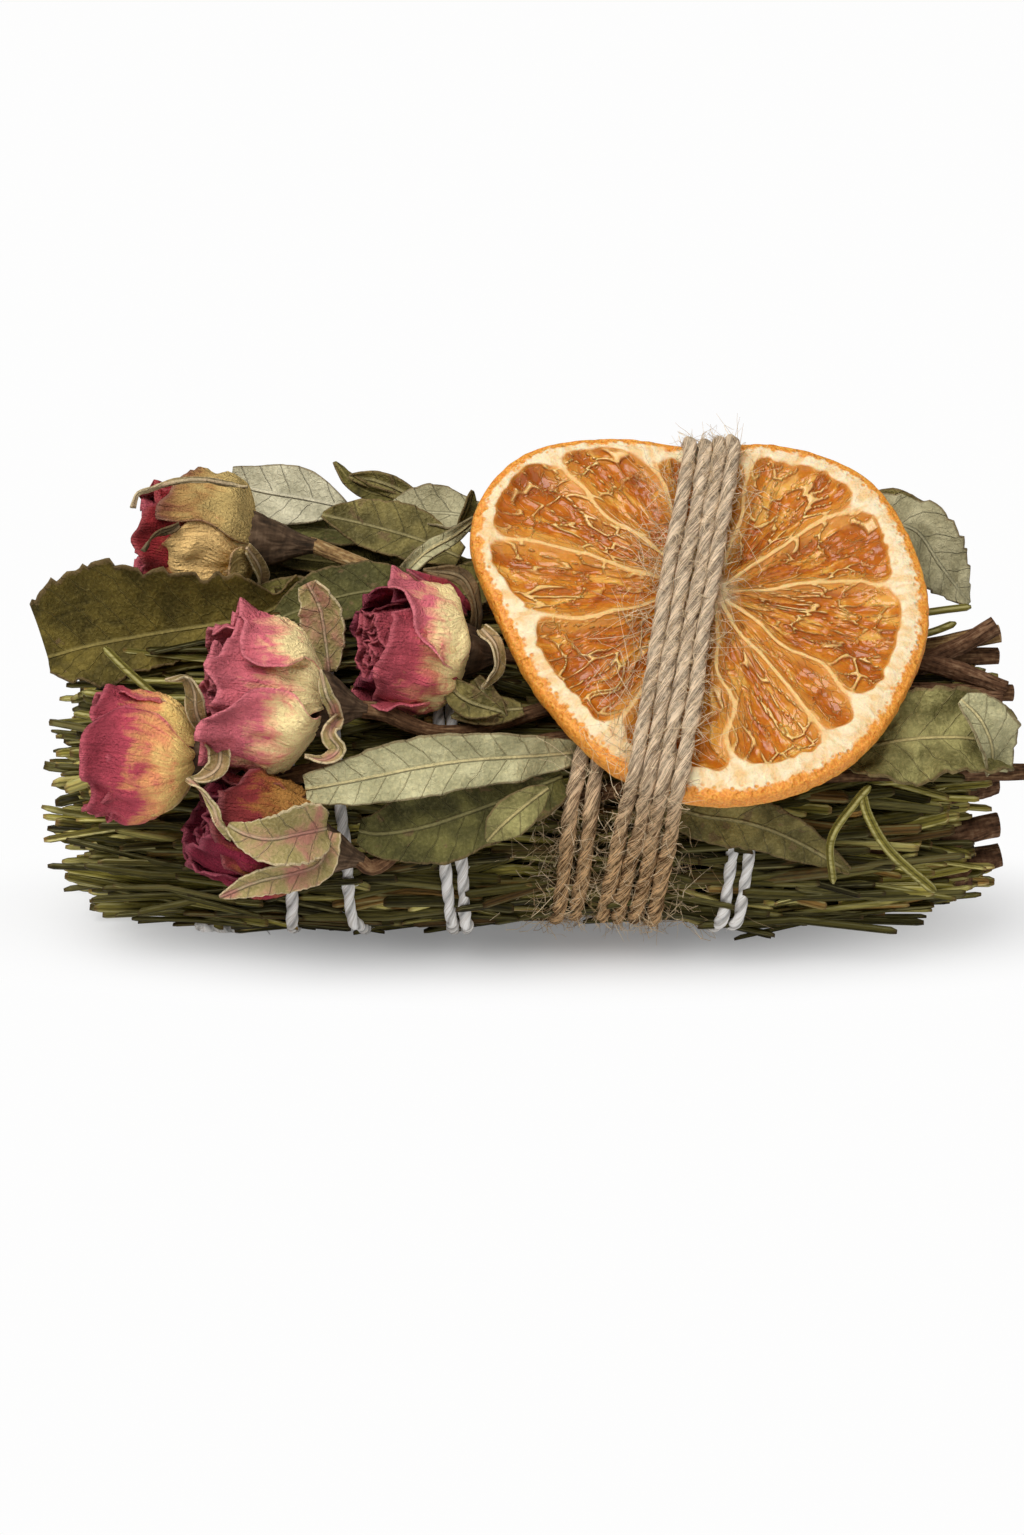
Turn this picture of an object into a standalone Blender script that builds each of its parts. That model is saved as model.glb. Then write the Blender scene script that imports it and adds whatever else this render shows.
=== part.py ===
"""A smudge stick lying on its side.

A bundle of rosemary sprigs is wound with cotton string, dressed with dried leaves and five
rosebuds, and tied with jute twine that also holds a dried orange slice. +X runs from the
leaf tips to the cut stems, -Y is the dressed front and +Z is up. Lengths are in metres, and
mm() turns millimetres into them. Places are first laid out about the middle of the bundle,
with the core resting near z = 0. stand_on_origin() then moves the whole onto its origin.
"""

import math
import random

import bmesh
import bpy
from mathutils import Vector

MM = 0.001
GAP = 0.3 * MM

# Bundle of rosemary: half sizes of its outline, and how far the foliage and the stems reach.
CORE_HALF_WIDTH = 23.5 * MM
CORE_HALF_HEIGHT = 19.4 * MM
CORE_CENTRE = 22.4 * MM
CORE_ROUNDNESS_TOP = 2.1
CORE_ROUNDNESS_BOTTOM = 3.6
CORE_TAPER = 0.13
CORE_STRAIGHT = 35.0 * MM
CORE_TAPER_LENGTH = 30.0 * MM
CORE_STEPS = 90
FOLIAGE_START = -58.0 * MM
FOLIAGE_END = 57.0 * MM
STEM_END = 68.0 * MM

# Sprigs: twelve round the outside, and four inside them at their own depths.
SPRIG_RADIUS = 4.5 * MM
SPRIG_FLUTES = 5
SPRIG_FLUTE_DEPTH = 0.8
SPRIG_STEM_RADIUS = 1.7 * MM
OUTER_SPRIGS = 12
INNER_SPRIG_RADIUS = 4.85 * MM
INNER_SPRIG_DEPTHS = (14.1 * MM, 13.6 * MM, 14.1 * MM, 13.6 * MM)

# Ties. The twine draws the core in where it goes round it.
COTTON_RADIUS = 0.9 * MM
COTTON_CLEARANCE = 0.8 * MM
COTTON_STEPS = 14
JUTE_RADIUS = 1.25 * MM
JUTE_CLEARANCE = 0.4 * MM
JUTE_STEPS = 18
JUTE_TUCKED_STEPS = 3
JUTE_X = 13.0 * MM
JUTE_PINCH = 1.5 * MM
JUTE_REACH = 13.0 * MM
TURNS_UNDER_SLICE = 2

# Rose stems lie on the bundle, clear of the string, and closer beyond its last turn.
ROSE_STEM_RADIUS = 1.15 * MM
STEM_LIFT = 2 * COTTON_RADIUS + COTTON_CLEARANCE + ROSE_STEM_RADIUS + 0.15 * MM
STEM_LIFT_PAST_STRING = ROSE_STEM_RADIUS + 0.5 * MM

# Leaves and petals are thin sheets.
LEAF_THICKNESS = 0.5 * MM
LEAF_COLUMNS = 2
PETAL_THICKNESS = 0.45 * MM
PETAL_STEPS = 5

# Orange slice. Its reaches are the distances in millimetres from its middle to its rind, at
# even steps round it from +X through the top: it has dried out of round.
SLICE_CENTRE = (26.2, -11.7, 51.1)
SLICE_REACHES_UPPER = (32.3, 33.3, 34.2, 31.4, 28.0, 31.4, 35.6, 34.5)
SLICE_REACHES_LOWER = (28.5, 25.8, 25.4, 27.8, 30.0, 30.7, 30.9, 30.9)
SLICE_THICKNESS = 4.2 * MM
SLICE_TILT = math.radians(37.0)
SLICE_TURN = math.radians(4.0)
SLICE_LOW_EDGE = 31.0 * MM
SLICE_TOP = 69.0 * MM
SLICE_DISH = 1.2 * MM
SLICE_BEND = 3.0 * MM
SLICE_BEND_PLACE = math.radians(222.0)
SLICE_BEND_SPREAD = 0.6
SEGMENTS = 10
STEPS_PER_SEGMENT = 6
MEMBRANE_HEIGHT = 0.55 * MM

COLOURS = {
    "rosemary": ((0.16, 0.18, 0.08), 0.75),
    "leaf": ((0.25, 0.27, 0.15), 0.7),
    "pale_leaf": ((0.38, 0.41, 0.28), 0.75),
    "petal": ((0.45, 0.10, 0.16), 0.65),
    "bud": ((0.70, 0.48, 0.24), 0.65),
    "calyx": ((0.33, 0.27, 0.13), 0.75),
    "bark": ((0.14, 0.08, 0.05), 0.8),
    "orange": ((0.80, 0.36, 0.08), 0.5),
    "jute": ((0.45, 0.32, 0.20), 0.9),
    "cotton": ((0.80, 0.77, 0.73), 0.9),
}


# ---------------------------------------------------------------- helpers


def mm(x, y, z):
    """A point given in millimetres."""
    return Vector((x, y, z)) * MM


def blend(a, b, t):
    """The value a share t of the way from a to b."""
    return a + (b - a) * t


def material(name):
    """The Principled material of that name, made once."""
    found = bpy.data.materials.get(name)
    if found:
        return found
    colour, roughness = COLOURS[name]
    made = bpy.data.materials.new(name)
    made.use_nodes = True
    shader = made.node_tree.nodes["Principled BSDF"]
    shader.inputs["Base Color"].default_value = (*colour, 1.0)
    shader.inputs["Roughness"].default_value = roughness
    shader.inputs["Metallic"].default_value = 0.0
    return made


def add_object(name, data, material_name):
    """An object in the smudge stick's collection."""
    made = bpy.data.objects.new(name, data)
    bpy.data.collections["smudge_stick"].objects.link(made)
    data.materials.append(material(material_name))
    return made


def loft(name, rings, material_name):
    """A closed solid through rings of equally many points, capped at both ends."""
    work = bmesh.new()
    made = [[work.verts.new(point) for point in ring] for ring in rings]
    count = len(rings[0])
    for low, high in zip(made, made[1:]):
        for i in range(count):
            j = (i + 1) % count
            work.faces.new((low[i], low[j], high[j], high[i]))
    for ring, order in ((made[0], -1), (made[-1], 1)):
        centre = work.verts.new(sum((v.co for v in ring), Vector()) / count)
        for i in range(count):
            pair = (ring[i], ring[(i + 1) % count])[::order]
            work.faces.new((pair[0], pair[1], centre))
    bmesh.ops.recalc_face_normals(work, faces=work.faces)
    mesh = bpy.data.meshes.new(name)
    work.to_mesh(mesh)
    work.free()
    mesh.shade_smooth()
    mesh.set_sharp_from_angle(angle=math.radians(50))
    return add_object(name, mesh, material_name)


def sheet(name, rows, thickness, material_name):
    """A thin solid over a grid of points, thickened by half to each side."""
    work = bmesh.new()
    made = [[work.verts.new(point) for point in row] for row in rows]
    for low, high in zip(made, made[1:]):
        for i in range(len(low) - 1):
            work.faces.new((low[i], low[i + 1], high[i + 1], high[i]))
    mesh = bpy.data.meshes.new(name)
    work.to_mesh(mesh)
    work.free()
    mesh.shade_smooth()
    made = add_object(name, mesh, material_name)
    solidify = made.modifiers.new("thickness", "SOLIDIFY")
    solidify.thickness = thickness
    solidify.offset = 0.0
    solidify.use_rim = True
    return made


def tube(name, points, radius, material_name):
    """A round cord or stem along points, as a curve with filled caps."""
    curve = bpy.data.curves.new(name, "CURVE")
    curve.dimensions = "3D"
    curve.bevel_depth = radius
    curve.bevel_resolution = 2
    curve.use_fill_caps = True
    spline = curve.splines.new("POLY")
    spline.points.add(len(points) - 1)
    for knot, point in zip(spline.points, points):
        knot.co = (*point, 1.0)
    return add_object(name, curve, material_name)


def catmull_rom(a, b, c, d, t):
    """The value a share t of the way from b to c on a smooth curve through all four."""
    bend = (a * 2 - b * 5 + c * 4 - d) * t**2 + (b * 3 - a - c * 3 + d) * t**3
    return (b * 2 + (c - a) * t + bend) / 2


def smooth_path(points, per_span):
    """Points of a smooth curve through the given ones."""
    ends = [points[0] * 2 - points[1], *points, points[-1] * 2 - points[-2]]
    path = []
    for a, b, c, d in zip(ends, ends[1:], ends[2:], ends[3:]):
        path += [catmull_rom(a, b, c, d, k / per_span) for k in range(per_span)]
    return [*path, points[-1].copy()]


# ---------------------------------------------------------------- core outline


def core_half_sizes(x):
    """Half width and half height of the bundle's outline at x: it tapers at both ends and
    is drawn in where the twine ties it."""
    end = max(0.0, abs(x) - CORE_STRAIGHT) / CORE_TAPER_LENGTH
    taper = 1.0 - CORE_TAPER * end**2
    drawn_in = JUTE_PINCH * math.exp(-(((x - JUTE_X) / JUTE_REACH) ** 2))
    return CORE_HALF_WIDTH * taper - drawn_in, CORE_HALF_HEIGHT * taper - drawn_in


def core_section(x, angle, lift=0.0):
    """(y, z) on the bundle's outline at x, lifted off it by lift. Angle runs from +Y
    through the top."""
    half_width, half_height = core_half_sizes(x)
    power = CORE_ROUNDNESS_TOP if math.sin(angle) >= 0 else CORE_ROUNDNESS_BOTTOM

    def point(a):
        return Vector(
            (
                math.copysign(abs(math.cos(a)) ** (2 / power), math.cos(a)) * half_width,
                math.copysign(abs(math.sin(a)) ** (2 / power), math.sin(a)) * half_height,
            )
        )

    step = 0.02
    along = point(angle + step) - point(angle - step)
    outward = Vector((along.y, -along.x)).normalized()
    return point(angle) + outward * lift + Vector((0.0, CORE_CENTRE))


def on_core(x, degrees, lift=0.0):
    """The point on the bundle's outline at x, that many degrees round from +Y."""
    y, z = core_section(x, math.radians(degrees), lift)
    return Vector((x, y, z))


def core_outline(x, lift=0.0):
    """(y, z) points all round the bundle's outline at x."""
    return [core_section(x, math.tau * i / CORE_STEPS, lift) for i in range(CORE_STEPS)]


def even_angles(count, lift):
    """Angles that space count points evenly round the outline at its middle."""
    steps = 720
    outline = [core_section(0.0, math.tau * i / steps, lift) for i in range(steps + 1)]
    reached = [0.0]
    for a, b in zip(outline, outline[1:]):
        reached.append(reached[-1] + (b - a).length)
    found = []
    for k in range(count):
        wanted = k / count * reached[-1]
        found.append(math.tau * next(i for i, s in enumerate(reached) if s >= wanted) / steps)
    return found


# ---------------------------------------------------------------- rosemary


def rosemary_sprig(name, angle, depth, size, draw):
    """One sprig: a fluted brush of needles with ragged tips at -X and its bare woody stem
    at +X, depth inside the outline."""
    points = 2 * SPRIG_FLUTES
    ragged = [draw.uniform(0.0, 7.0) * MM for _ in range(SPRIG_FLUTES)]
    start = FOLIAGE_START + draw.uniform(-1.0, 5.0) * MM
    end = FOLIAGE_END + draw.uniform(-4.0, 3.0) * MM
    stem_end = STEM_END + draw.uniform(-4.0, 3.5) * MM
    twist = draw.uniform(-0.9, 0.9)
    fullness = [(0.0, 0.55), (0.04, 0.9), (0.2, 1.0), (0.4, 1.0), (0.6, 1.0), (0.8, 1.0), (0.95, 0.92)]
    rings = []
    for share, full in fullness:
        x = blend(start, end, share)
        y, z = core_section(x, angle, -depth)
        radius = size * full * core_half_sizes(x)[0] / CORE_HALF_WIDTH
        ring = []
        for i in range(points):
            peak = i % 2 == 0
            around = math.tau * i / points + twist * share
            reach = radius * (1.0 if peak else SPRIG_FLUTE_DEPTH)
            back = ragged[i // 2] if share == 0.0 and peak else 0.0
            ring.append(Vector((x - back, y + math.cos(around) * reach, z + math.sin(around) * reach)))
        rings.append(ring)
    for x, radius in ((end + 2.0 * MM, SPRIG_STEM_RADIUS * 1.25), (stem_end, SPRIG_STEM_RADIUS)):
        y, z = core_section(x, angle, -depth)
        angles = [math.tau * i / points + twist for i in range(points)]
        rings.append([Vector((x, y + math.cos(a) * radius, z + math.sin(a) * radius)) for a in angles])
    return loft(name, rings, "rosemary")


def rosemary_bundle():
    """The core: an outer ring of sprigs round four inner ones."""
    draw = random.Random(4)
    places = [(angle, SPRIG_RADIUS, SPRIG_RADIUS) for angle in even_angles(OUTER_SPRIGS, -SPRIG_RADIUS)]
    for k, depth in enumerate(INNER_SPRIG_DEPTHS):
        places.append((math.tau * k / len(INNER_SPRIG_DEPTHS), depth, INNER_SPRIG_RADIUS))
    for i, (angle, depth, radius) in enumerate(places):
        rosemary_sprig(f"rosemary_sprig_{i + 1:02d}", angle, depth, radius, draw)


# ---------------------------------------------------------------- ties


def taut_point(outline, direction, offset):
    """Where a taut cord at that offset touches a set of (y, z) points, seen along
    direction."""
    outward = Vector((math.cos(direction), math.sin(direction)))
    return max(outline, key=outward.dot) + outward * offset


def cotton_route():
    """The string's middle line. Its tail lies along the bottom, as (x in mm, degrees round
    the core), and the rest is wound round the core. Each crossing is where a turn passes
    the bottom and then, having risen behind, the top, in millimetres along X."""
    tail = [(-45.0, -116), (-41.0, -112), (-37.5, -105), (-35.3, -93)]
    crossings = [(-33.8, -31.0), (-31.4, -26.5), (-20.6, -12.0), (-9.0, -9.7), (-6.5, 35.2)]
    crossings += [(28.2, 37.6), (30.6, 38.0)]
    places = [(x, math.radians(degrees)) for x, degrees in tail]
    for (low, top), (following, _) in zip(crossings, crossings[1:]):
        for k in range(COTTON_STEPS):
            share = (k + 0.5) / COTTON_STEPS
            rising = share < 0.5
            x = blend(low, top, share * 2) if rising else blend(top, following, share * 2 - 1)
            places.append((x, math.tau * (share - 0.25)))
    offset = COTTON_RADIUS + COTTON_CLEARANCE
    return [Vector((x * MM, *taut_point(core_outline(x * MM), angle, offset))) for x, angle in places]


def cotton_string():
    """The thin string that holds the bundle together."""
    return tube("cotton_string", cotton_route(), COTTON_RADIUS, "cotton")


def jute_front_x(turn, z):
    """Where the front of a turn is along X at height z."""
    low, edge, high = (x * MM for x in turn)
    if z < SLICE_LOW_EDGE:
        return blend(low, edge, z / SLICE_LOW_EDGE)
    return blend(edge, high, (z - SLICE_LOW_EDGE) / (SLICE_TOP - SLICE_LOW_EDGE))


def jute_back_x(turn, following, z):
    """Where the twine is along X at height z behind the bundle, between two turns."""
    return blend(following[0], turn[2], z / SLICE_TOP) * MM


def slice_edges_near(turn):
    """(y, z) of the rind's edges where a turn of twine crosses them."""
    found = []
    steps = 60
    for start in (0.0, math.pi):
        edges = []
        for i in range(steps + 1):
            around = start + math.pi * i / steps
            sides = (SLICE_THICKNESS / 2, -SLICE_THICKNESS / 2)
            edges.append([slice_point(around, share, side) for side in sides for share in (1.0, 0.9)])
        near = min(edges, key=lambda edge: abs(edge[0].x - jute_front_x(turn, edge[0].z)))
        found += [Vector((point.y, point.z)) for point in near]
    return found


def inside_twine(turn, following, holds_slice):
    """(y, z) points of all that a turn of twine is drawn over: the core, the stems on it,
    the string and, where the turn holds it, the slice."""
    middle = turn[1] * MM
    outline = core_outline(middle, 2 * GAP)
    over_stems = STEM_LIFT + ROSE_STEM_RADIUS + GAP
    outline += [core_section(middle, math.radians(degrees), over_stems) for degrees in range(80, 166, 5)]
    reach = JUTE_RADIUS + COTTON_RADIUS + 2 * GAP
    for point in smooth_path(cotton_route(), 4):
        front = point.y < 0
        x = jute_front_x(turn, point.z) if front else jute_back_x(turn, following, point.z)
        if abs(point.x - x) < reach:
            outward = Vector((point.y, point.z - CORE_CENTRE)).normalized()
            outline.append(Vector((point.y, point.z)) + outward * COTTON_RADIUS)
    if holds_slice:
        outline += slice_edges_near(turn)
    return outline


def jute_twine():
    """One twine in six turns: two pass under the slice, four over it. Each entry is where
    the front of a turn is along X, in millimetres: at the bottom, at the height of the
    slice's lower edge and at the height of its top. The twine is taut over all that lies
    inside it, and its end is tucked in at the back."""
    turns = [(5.6, 8.6, 17.5), (8.4, 11.3, 20.0), (11.3, 14.0, 23.6), (14.2, 16.8, 26.4)]
    turns += [(17.1, 19.6, 29.2), (20.0, 22.4, 32.0), (22.9, 25.0, 34.0)]
    path = []
    for number, (turn, following) in enumerate(zip(turns, turns[1:])):
        outline = inside_twine(turn, following, number >= TURNS_UNDER_SLICE)
        for k in range(JUTE_STEPS):
            direction = -math.pi / 2 - math.tau * (k + 0.5) / JUTE_STEPS
            y, z = taut_point(outline, direction, JUTE_RADIUS + JUTE_CLEARANCE)
            front = k < JUTE_STEPS / 2
            x = jute_front_x(turn, z) if front else jute_back_x(turn, following, z)
            path.append(Vector((x, y, z)))
    return tube("jute_twine", path[:-JUTE_TUCKED_STEPS], JUTE_RADIUS, "jute")


# ---------------------------------------------------------------- orange slice


def slice_axes():
    """The slice's own axes: across its face, up its face, and out of its face."""
    out = Vector((0.0, -math.sin(SLICE_TILT), math.cos(SLICE_TILT)))
    up = Vector((0.0, math.cos(SLICE_TILT), math.sin(SLICE_TILT)))
    across = Vector((1.0, 0.0, 0.0))
    turned_out = out * math.cos(SLICE_TURN) + across * math.sin(SLICE_TURN)
    turned_across = across * math.cos(SLICE_TURN) - out * math.sin(SLICE_TURN)
    return turned_across, up, turned_out


def slice_reach(around):
    """Distance from the slice's middle to its rind in that direction, on a smooth curve
    through the reaches."""
    reaches = SLICE_REACHES_UPPER + SLICE_REACHES_LOWER
    place = around / math.tau % 1.0 * len(reaches)
    before = int(place)
    t = place - before
    a, b, c, d = (reaches[(before + k) % len(reaches)] for k in (-1, 0, 1, 2))
    return catmull_rom(a, b, c, d, t) * MM


def slice_point(around, share, height):
    """A point of the slice: around it, share of the way to its rind, and height out of its
    middle plane. It is slightly dished, and its flat side bends back."""
    across, up, out = slice_axes()
    reach = slice_reach(around) * share
    near_bend = math.exp(-(((around - SLICE_BEND_PLACE) / SLICE_BEND_SPREAD) ** 2))
    lifted = height + SLICE_DISH * share**2 - SLICE_BEND * share**3 * near_bend
    place = across * (math.cos(around) * reach) + up * (math.sin(around) * reach)
    return mm(*SLICE_CENTRE) + place + out * lifted


def orange_slice():
    """The dried slice: a thick rind, pulp that has shrunk below it, and ten membranes that
    stand up between the segments."""
    steps = SEGMENTS * STEPS_PER_SEGMENT
    half = SLICE_THICKNESS / 2
    upper, lower = [], []
    for share, fullness in ((0.10, 0.75), (0.45, 0.55), (0.84, 0.6), (0.90, 1.0), (1.0, 0.86)):
        high, low = [], []
        for i in range(steps):
            around = math.tau * i / steps
            on_membrane = i % STEPS_PER_SEGMENT == 0 and 0.1 < share < 0.9
            height = half * fullness + (MEMBRANE_HEIGHT if on_membrane else 0.0)
            high.append(slice_point(around, share, height))
            low.append(slice_point(around, share, -height))
        upper.append(high)
        lower.append(low)
    return loft("orange_slice", [*upper, *reversed(lower)], "orange")


# ---------------------------------------------------------------- roses

# A bud's radius along it, from its base to its tip, as shares of its length and widest.
BUD_PROFILE = (
    (0.0, 0.30),
    (0.07, 0.56),
    (0.2, 0.85),
    (0.42, 1.0),
    (0.65, 0.97),
    (0.85, 0.84),
    (0.97, 0.66),
    (1.0, 0.48),
    (0.92, 0.2),
)


def bud_radius(share):
    """Radius of a bud, as a share of its widest, that share of the way to its tip."""
    for (low, a), (high, b) in zip(BUD_PROFILE, BUD_PROFILE[1:]):
        if low <= share <= high:
            return blend(a, b, (share - low) / (high - low))
    return BUD_PROFILE[-1][1]


class Rose:
    """A dried rosebud: bud, two loose outer petals, calyx with five sepals, and stem."""

    def __init__(self, name, tip, base, radius, petals, sepal_turn, stem_route):
        """Tip and base are the bud's ends in millimetres, and radius is its widest. Petals
        gives the middle and the spread of its two loose petals, in degrees round it from
        the back through the top. Stem_route lists (x in mm, degrees round the core, lift
        in mm) from the calyx on."""
        self.name = name
        self.base = mm(*base)
        self.axis = mm(*tip) - self.base
        self.length = self.axis.length
        self.axis.normalize()
        self.radius = radius * MM
        self.petals = petals
        self.sepal_turn = math.radians(sepal_turn)
        self.side = self.axis.cross(Vector((0, 0, 1))).normalized()
        self.top = self.side.cross(self.axis)
        self.stem_route = stem_route

    def at(self, along, radius, around):
        """A point along the bud's axis, that far from it, at that angle round it."""
        outward = self.side * math.cos(around) + self.top * math.sin(around)
        return self.base + self.axis * along + outward * radius

    def bud(self):
        """The closed heart of the flower, slightly three-lobed and dimpled at its tip."""
        count = 12
        rings = []
        for share, width in BUD_PROFILE:
            ring = []
            for i in range(count):
                around = math.tau * i / count
                lobe = 1.0 + 0.04 * math.cos(3 * around + 2 * share)
                ring.append(self.at(share * self.length, width * self.radius * lobe, around))
            rings.append(ring)
        loft(f"{self.name}_bud", rings, "bud")

    def outer_petal(self, label, middle, spread):
        """A loose petal wrapped on the bud, its free edge turned out a little."""
        rows = []
        for i in range(PETAL_STEPS + 1):
            t = i / PETAL_STEPS
            share = blend(0.4, 0.96, t)
            width = math.radians(spread) * (0.55 + 0.45 * math.sin(math.pi * (0.2 + 0.6 * t)))
            radius = bud_radius(share) * self.radius * 1.04 + blend(0.75, 1.8, t**3) * MM
            turns = [width * (j / PETAL_STEPS - 0.5) for j in range(PETAL_STEPS + 1)]
            rows.append([self.at(share * self.length, radius, math.radians(middle) + a) for a in turns])
        sheet(f"{self.name}_petal_{label}", rows, PETAL_THICKNESS, "petal")

    def calyx(self):
        """The cup under the bud with its five pointed sepals lying along the petals."""
        sepals = 5
        cup = 0.42 * self.radius

        def clear(share, lift):
            return share * self.length, bud_radius(share) * self.radius * 1.04 + lift * MM

        rings = [
            ((-5.0 * MM, 1.4 * MM), (-5.0 * MM, 1.4 * MM)),
            ((-2.6 * MM, cup * 0.8), (-2.6 * MM, cup * 0.8)),
            (clear(0.08, 2.3), (-1.3 * MM, cup)),
            (clear(0.2, 2.4), (-1.0 * MM, cup * 1.05)),
            (clear(0.38, 2.2), (-0.8 * MM, cup * 1.08)),
            (clear(0.2, 1.8), (-0.8 * MM, cup * 0.95)),
            (clear(0.08, 1.6), (-0.8 * MM, cup * 0.85)),
            ((-0.8 * MM, cup * 0.6), (-0.8 * MM, cup * 0.6)),
        ]
        points = []
        for on_sepal, between in rings:
            ring = []
            for i in range(2 * sepals):
                place = on_sepal if i % 2 == 0 else between
                ring.append(self.at(*place, self.sepal_turn + math.tau * i / (2 * sepals)))
            points.append(ring)
        loft(f"{self.name}_calyx", points, "calyx")

    def stem(self):
        """The stem, from the calyx down onto the bundle and along it to its cut end."""
        route = [self.at(-5.4 * MM, 0.0, 0.0), self.at(-8.5 * MM, 0.0, 0.0)]
        route += [on_core(x * MM, degrees, lift * MM) for x, degrees, lift in self.stem_route]
        tube(f"{self.name}_stem", smooth_path(route, 2), ROSE_STEM_RADIUS, "bark")

    def build(self):
        """All the rose's pieces."""
        self.bud()
        for label, (middle, spread) in zip(("front", "back"), self.petals):
            self.outer_petal(label, middle, spread)
        self.calyx()
        self.stem()


def roses():
    """The five roses, back one first."""
    high = STEM_LIFT / MM
    low = STEM_LIFT_PAST_STRING / MM
    Rose(
        "rose_back",
        tip=(-55.0, 12.5, 56.5),
        base=(-36.8, 12.0, 55.4),
        radius=7.6,
        petals=((215, 120), (90, 110)),
        sepal_turn=18.0,
        stem_route=[
            (-18.0, 84, 11.0),
            (0.0, 84, 5.2),
            (14.0, 84, high),
            (36.0, 84, high),
            (46.0, 84, low),
            (56.0, 84, 2.6),
            (70.5, 84, 7.0),
        ],
    ).build()
    Rose(
        "rose_right",
        tip=(-22.0, -21.4, 50.5),
        base=(-7.0, -12.2, 46.7),
        radius=7.3,
        petals=((155, 120), (40, 95)),
        sepal_turn=42.0,
        stem_route=[(10.0, 103, high), (36.0, 102, high), (46.0, 101, low), (58.0, 98, 2.4), (70.0, 95, 4.0)],
    ).build()
    Rose(
        "rose_middle",
        tip=(-44.0, -25.0, 46.6),
        base=(-26.2, -23.0, 42.8),
        radius=8.8,
        petals=((170, 120), (62, 85)),
        sepal_turn=60.0,
        stem_route=[
            (-8.0, 140, high),
            (12.0, 124, high),
            (36.0, 120, high),
            (46.0, 118, low),
            (71.5, 114, 2.6),
        ],
    ).build()
    Rose(
        "rose_left",
        tip=(-59.6, -31.5, 38.4),
        base=(-46.0, -27.8, 36.4),
        radius=8.2,
        petals=((200, 120), (90, 80)),
        sepal_turn=8.0,
        stem_route=[
            (-36.0, 156, 3.5),
            (-26.0, 153, high),
            (-8.0, 149, high),
            (14.0, 139, high),
            (36.0, 137, high),
            (46.0, 134, low),
            (71.0, 131, low),
        ],
    ).build()
    Rose(
        "rose_low",
        tip=(-43.5, -35.0, 31.0),
        base=(-26.5, -31.8, 24.6),
        radius=7.3,
        petals=((235, 110), (130, 80)),
        sepal_turn=26.0,
        stem_route=[
            (-10.0, 169, high),
            (14.0, 160, high),
            (36.0, 156, high),
            (46.0, 154, low),
            (74.5, 152, low),
        ],
    ).build()


# ---------------------------------------------------------------- leaves


class Leaf:
    """A dried leaf, as a folded and curled sheet about its midrib."""

    def __init__(self, name, face, half_width, spine, raised=(5, 5), rolled=(10, 10), **outline):
        """Face is the way the leaf's face looks, half_width its widest half in millimetres,
        and spine its midrib from base to tip, in millimetres. Raised and rolled give, for
        the left and the right half as seen along the spine, how far it lifts from the face
        at the midrib and how much further by its edge, in degrees. Outline may set its
        widths at base and tip, and where it is fullest, as shares, and its colour."""
        self.name = name
        self.face = Vector(face).normalized()
        self.half_width = half_width * MM
        self.spine = [mm(*point) for point in spine]
        self.raised = raised
        self.rolled = rolled
        self.base = outline.get("base", 0.15)
        self.tip = outline.get("tip", 0.1)
        self.fullest = outline.get("fullest", 0.5)
        self.colour = outline.get("colour", "leaf")

    def width_at(self, t):
        """Half width a share t of the way from base to tip."""
        if t < self.fullest:
            share = blend(self.base, 1.0, math.sin(math.pi / 2 * t / self.fullest) ** 0.9)
        else:
            past = (t - self.fullest) / (1 - self.fullest)
            share = blend(self.tip, 1.0, math.cos(math.pi / 2 * past) ** 0.9)
        return self.half_width * share

    def half_row(self, centre, outward, normal, width, lift, roll):
        """Points from the midrib's point out to one edge."""
        point, row = centre.copy(), []
        for k in range(LEAF_COLUMNS):
            angle = math.radians(lift + roll * (k + 0.5) / LEAF_COLUMNS)
            step = outward * math.cos(angle) + normal * math.sin(angle)
            point = point + step * (width / LEAF_COLUMNS)
            row.append(point)
        return row

    def build(self):
        """The leaf's sheet."""
        midrib = smooth_path(self.spine, 2)
        last = len(midrib) - 1
        rows = []
        for i, centre in enumerate(midrib):
            along = (midrib[min(i + 1, last)] - midrib[max(i - 1, 0)]).normalized()
            normal = (self.face - along * self.face.dot(along)).normalized()
            left = normal.cross(along)
            width = self.width_at(i / last)
            one = self.half_row(centre, left, normal, width, self.raised[0], self.rolled[0])
            other = self.half_row(centre, -left, normal, width, self.raised[1], self.rolled[1])
            rows.append([*reversed(one), centre, *other])
        return sheet(self.name, rows, LEAF_THICKNESS, self.colour)


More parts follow.
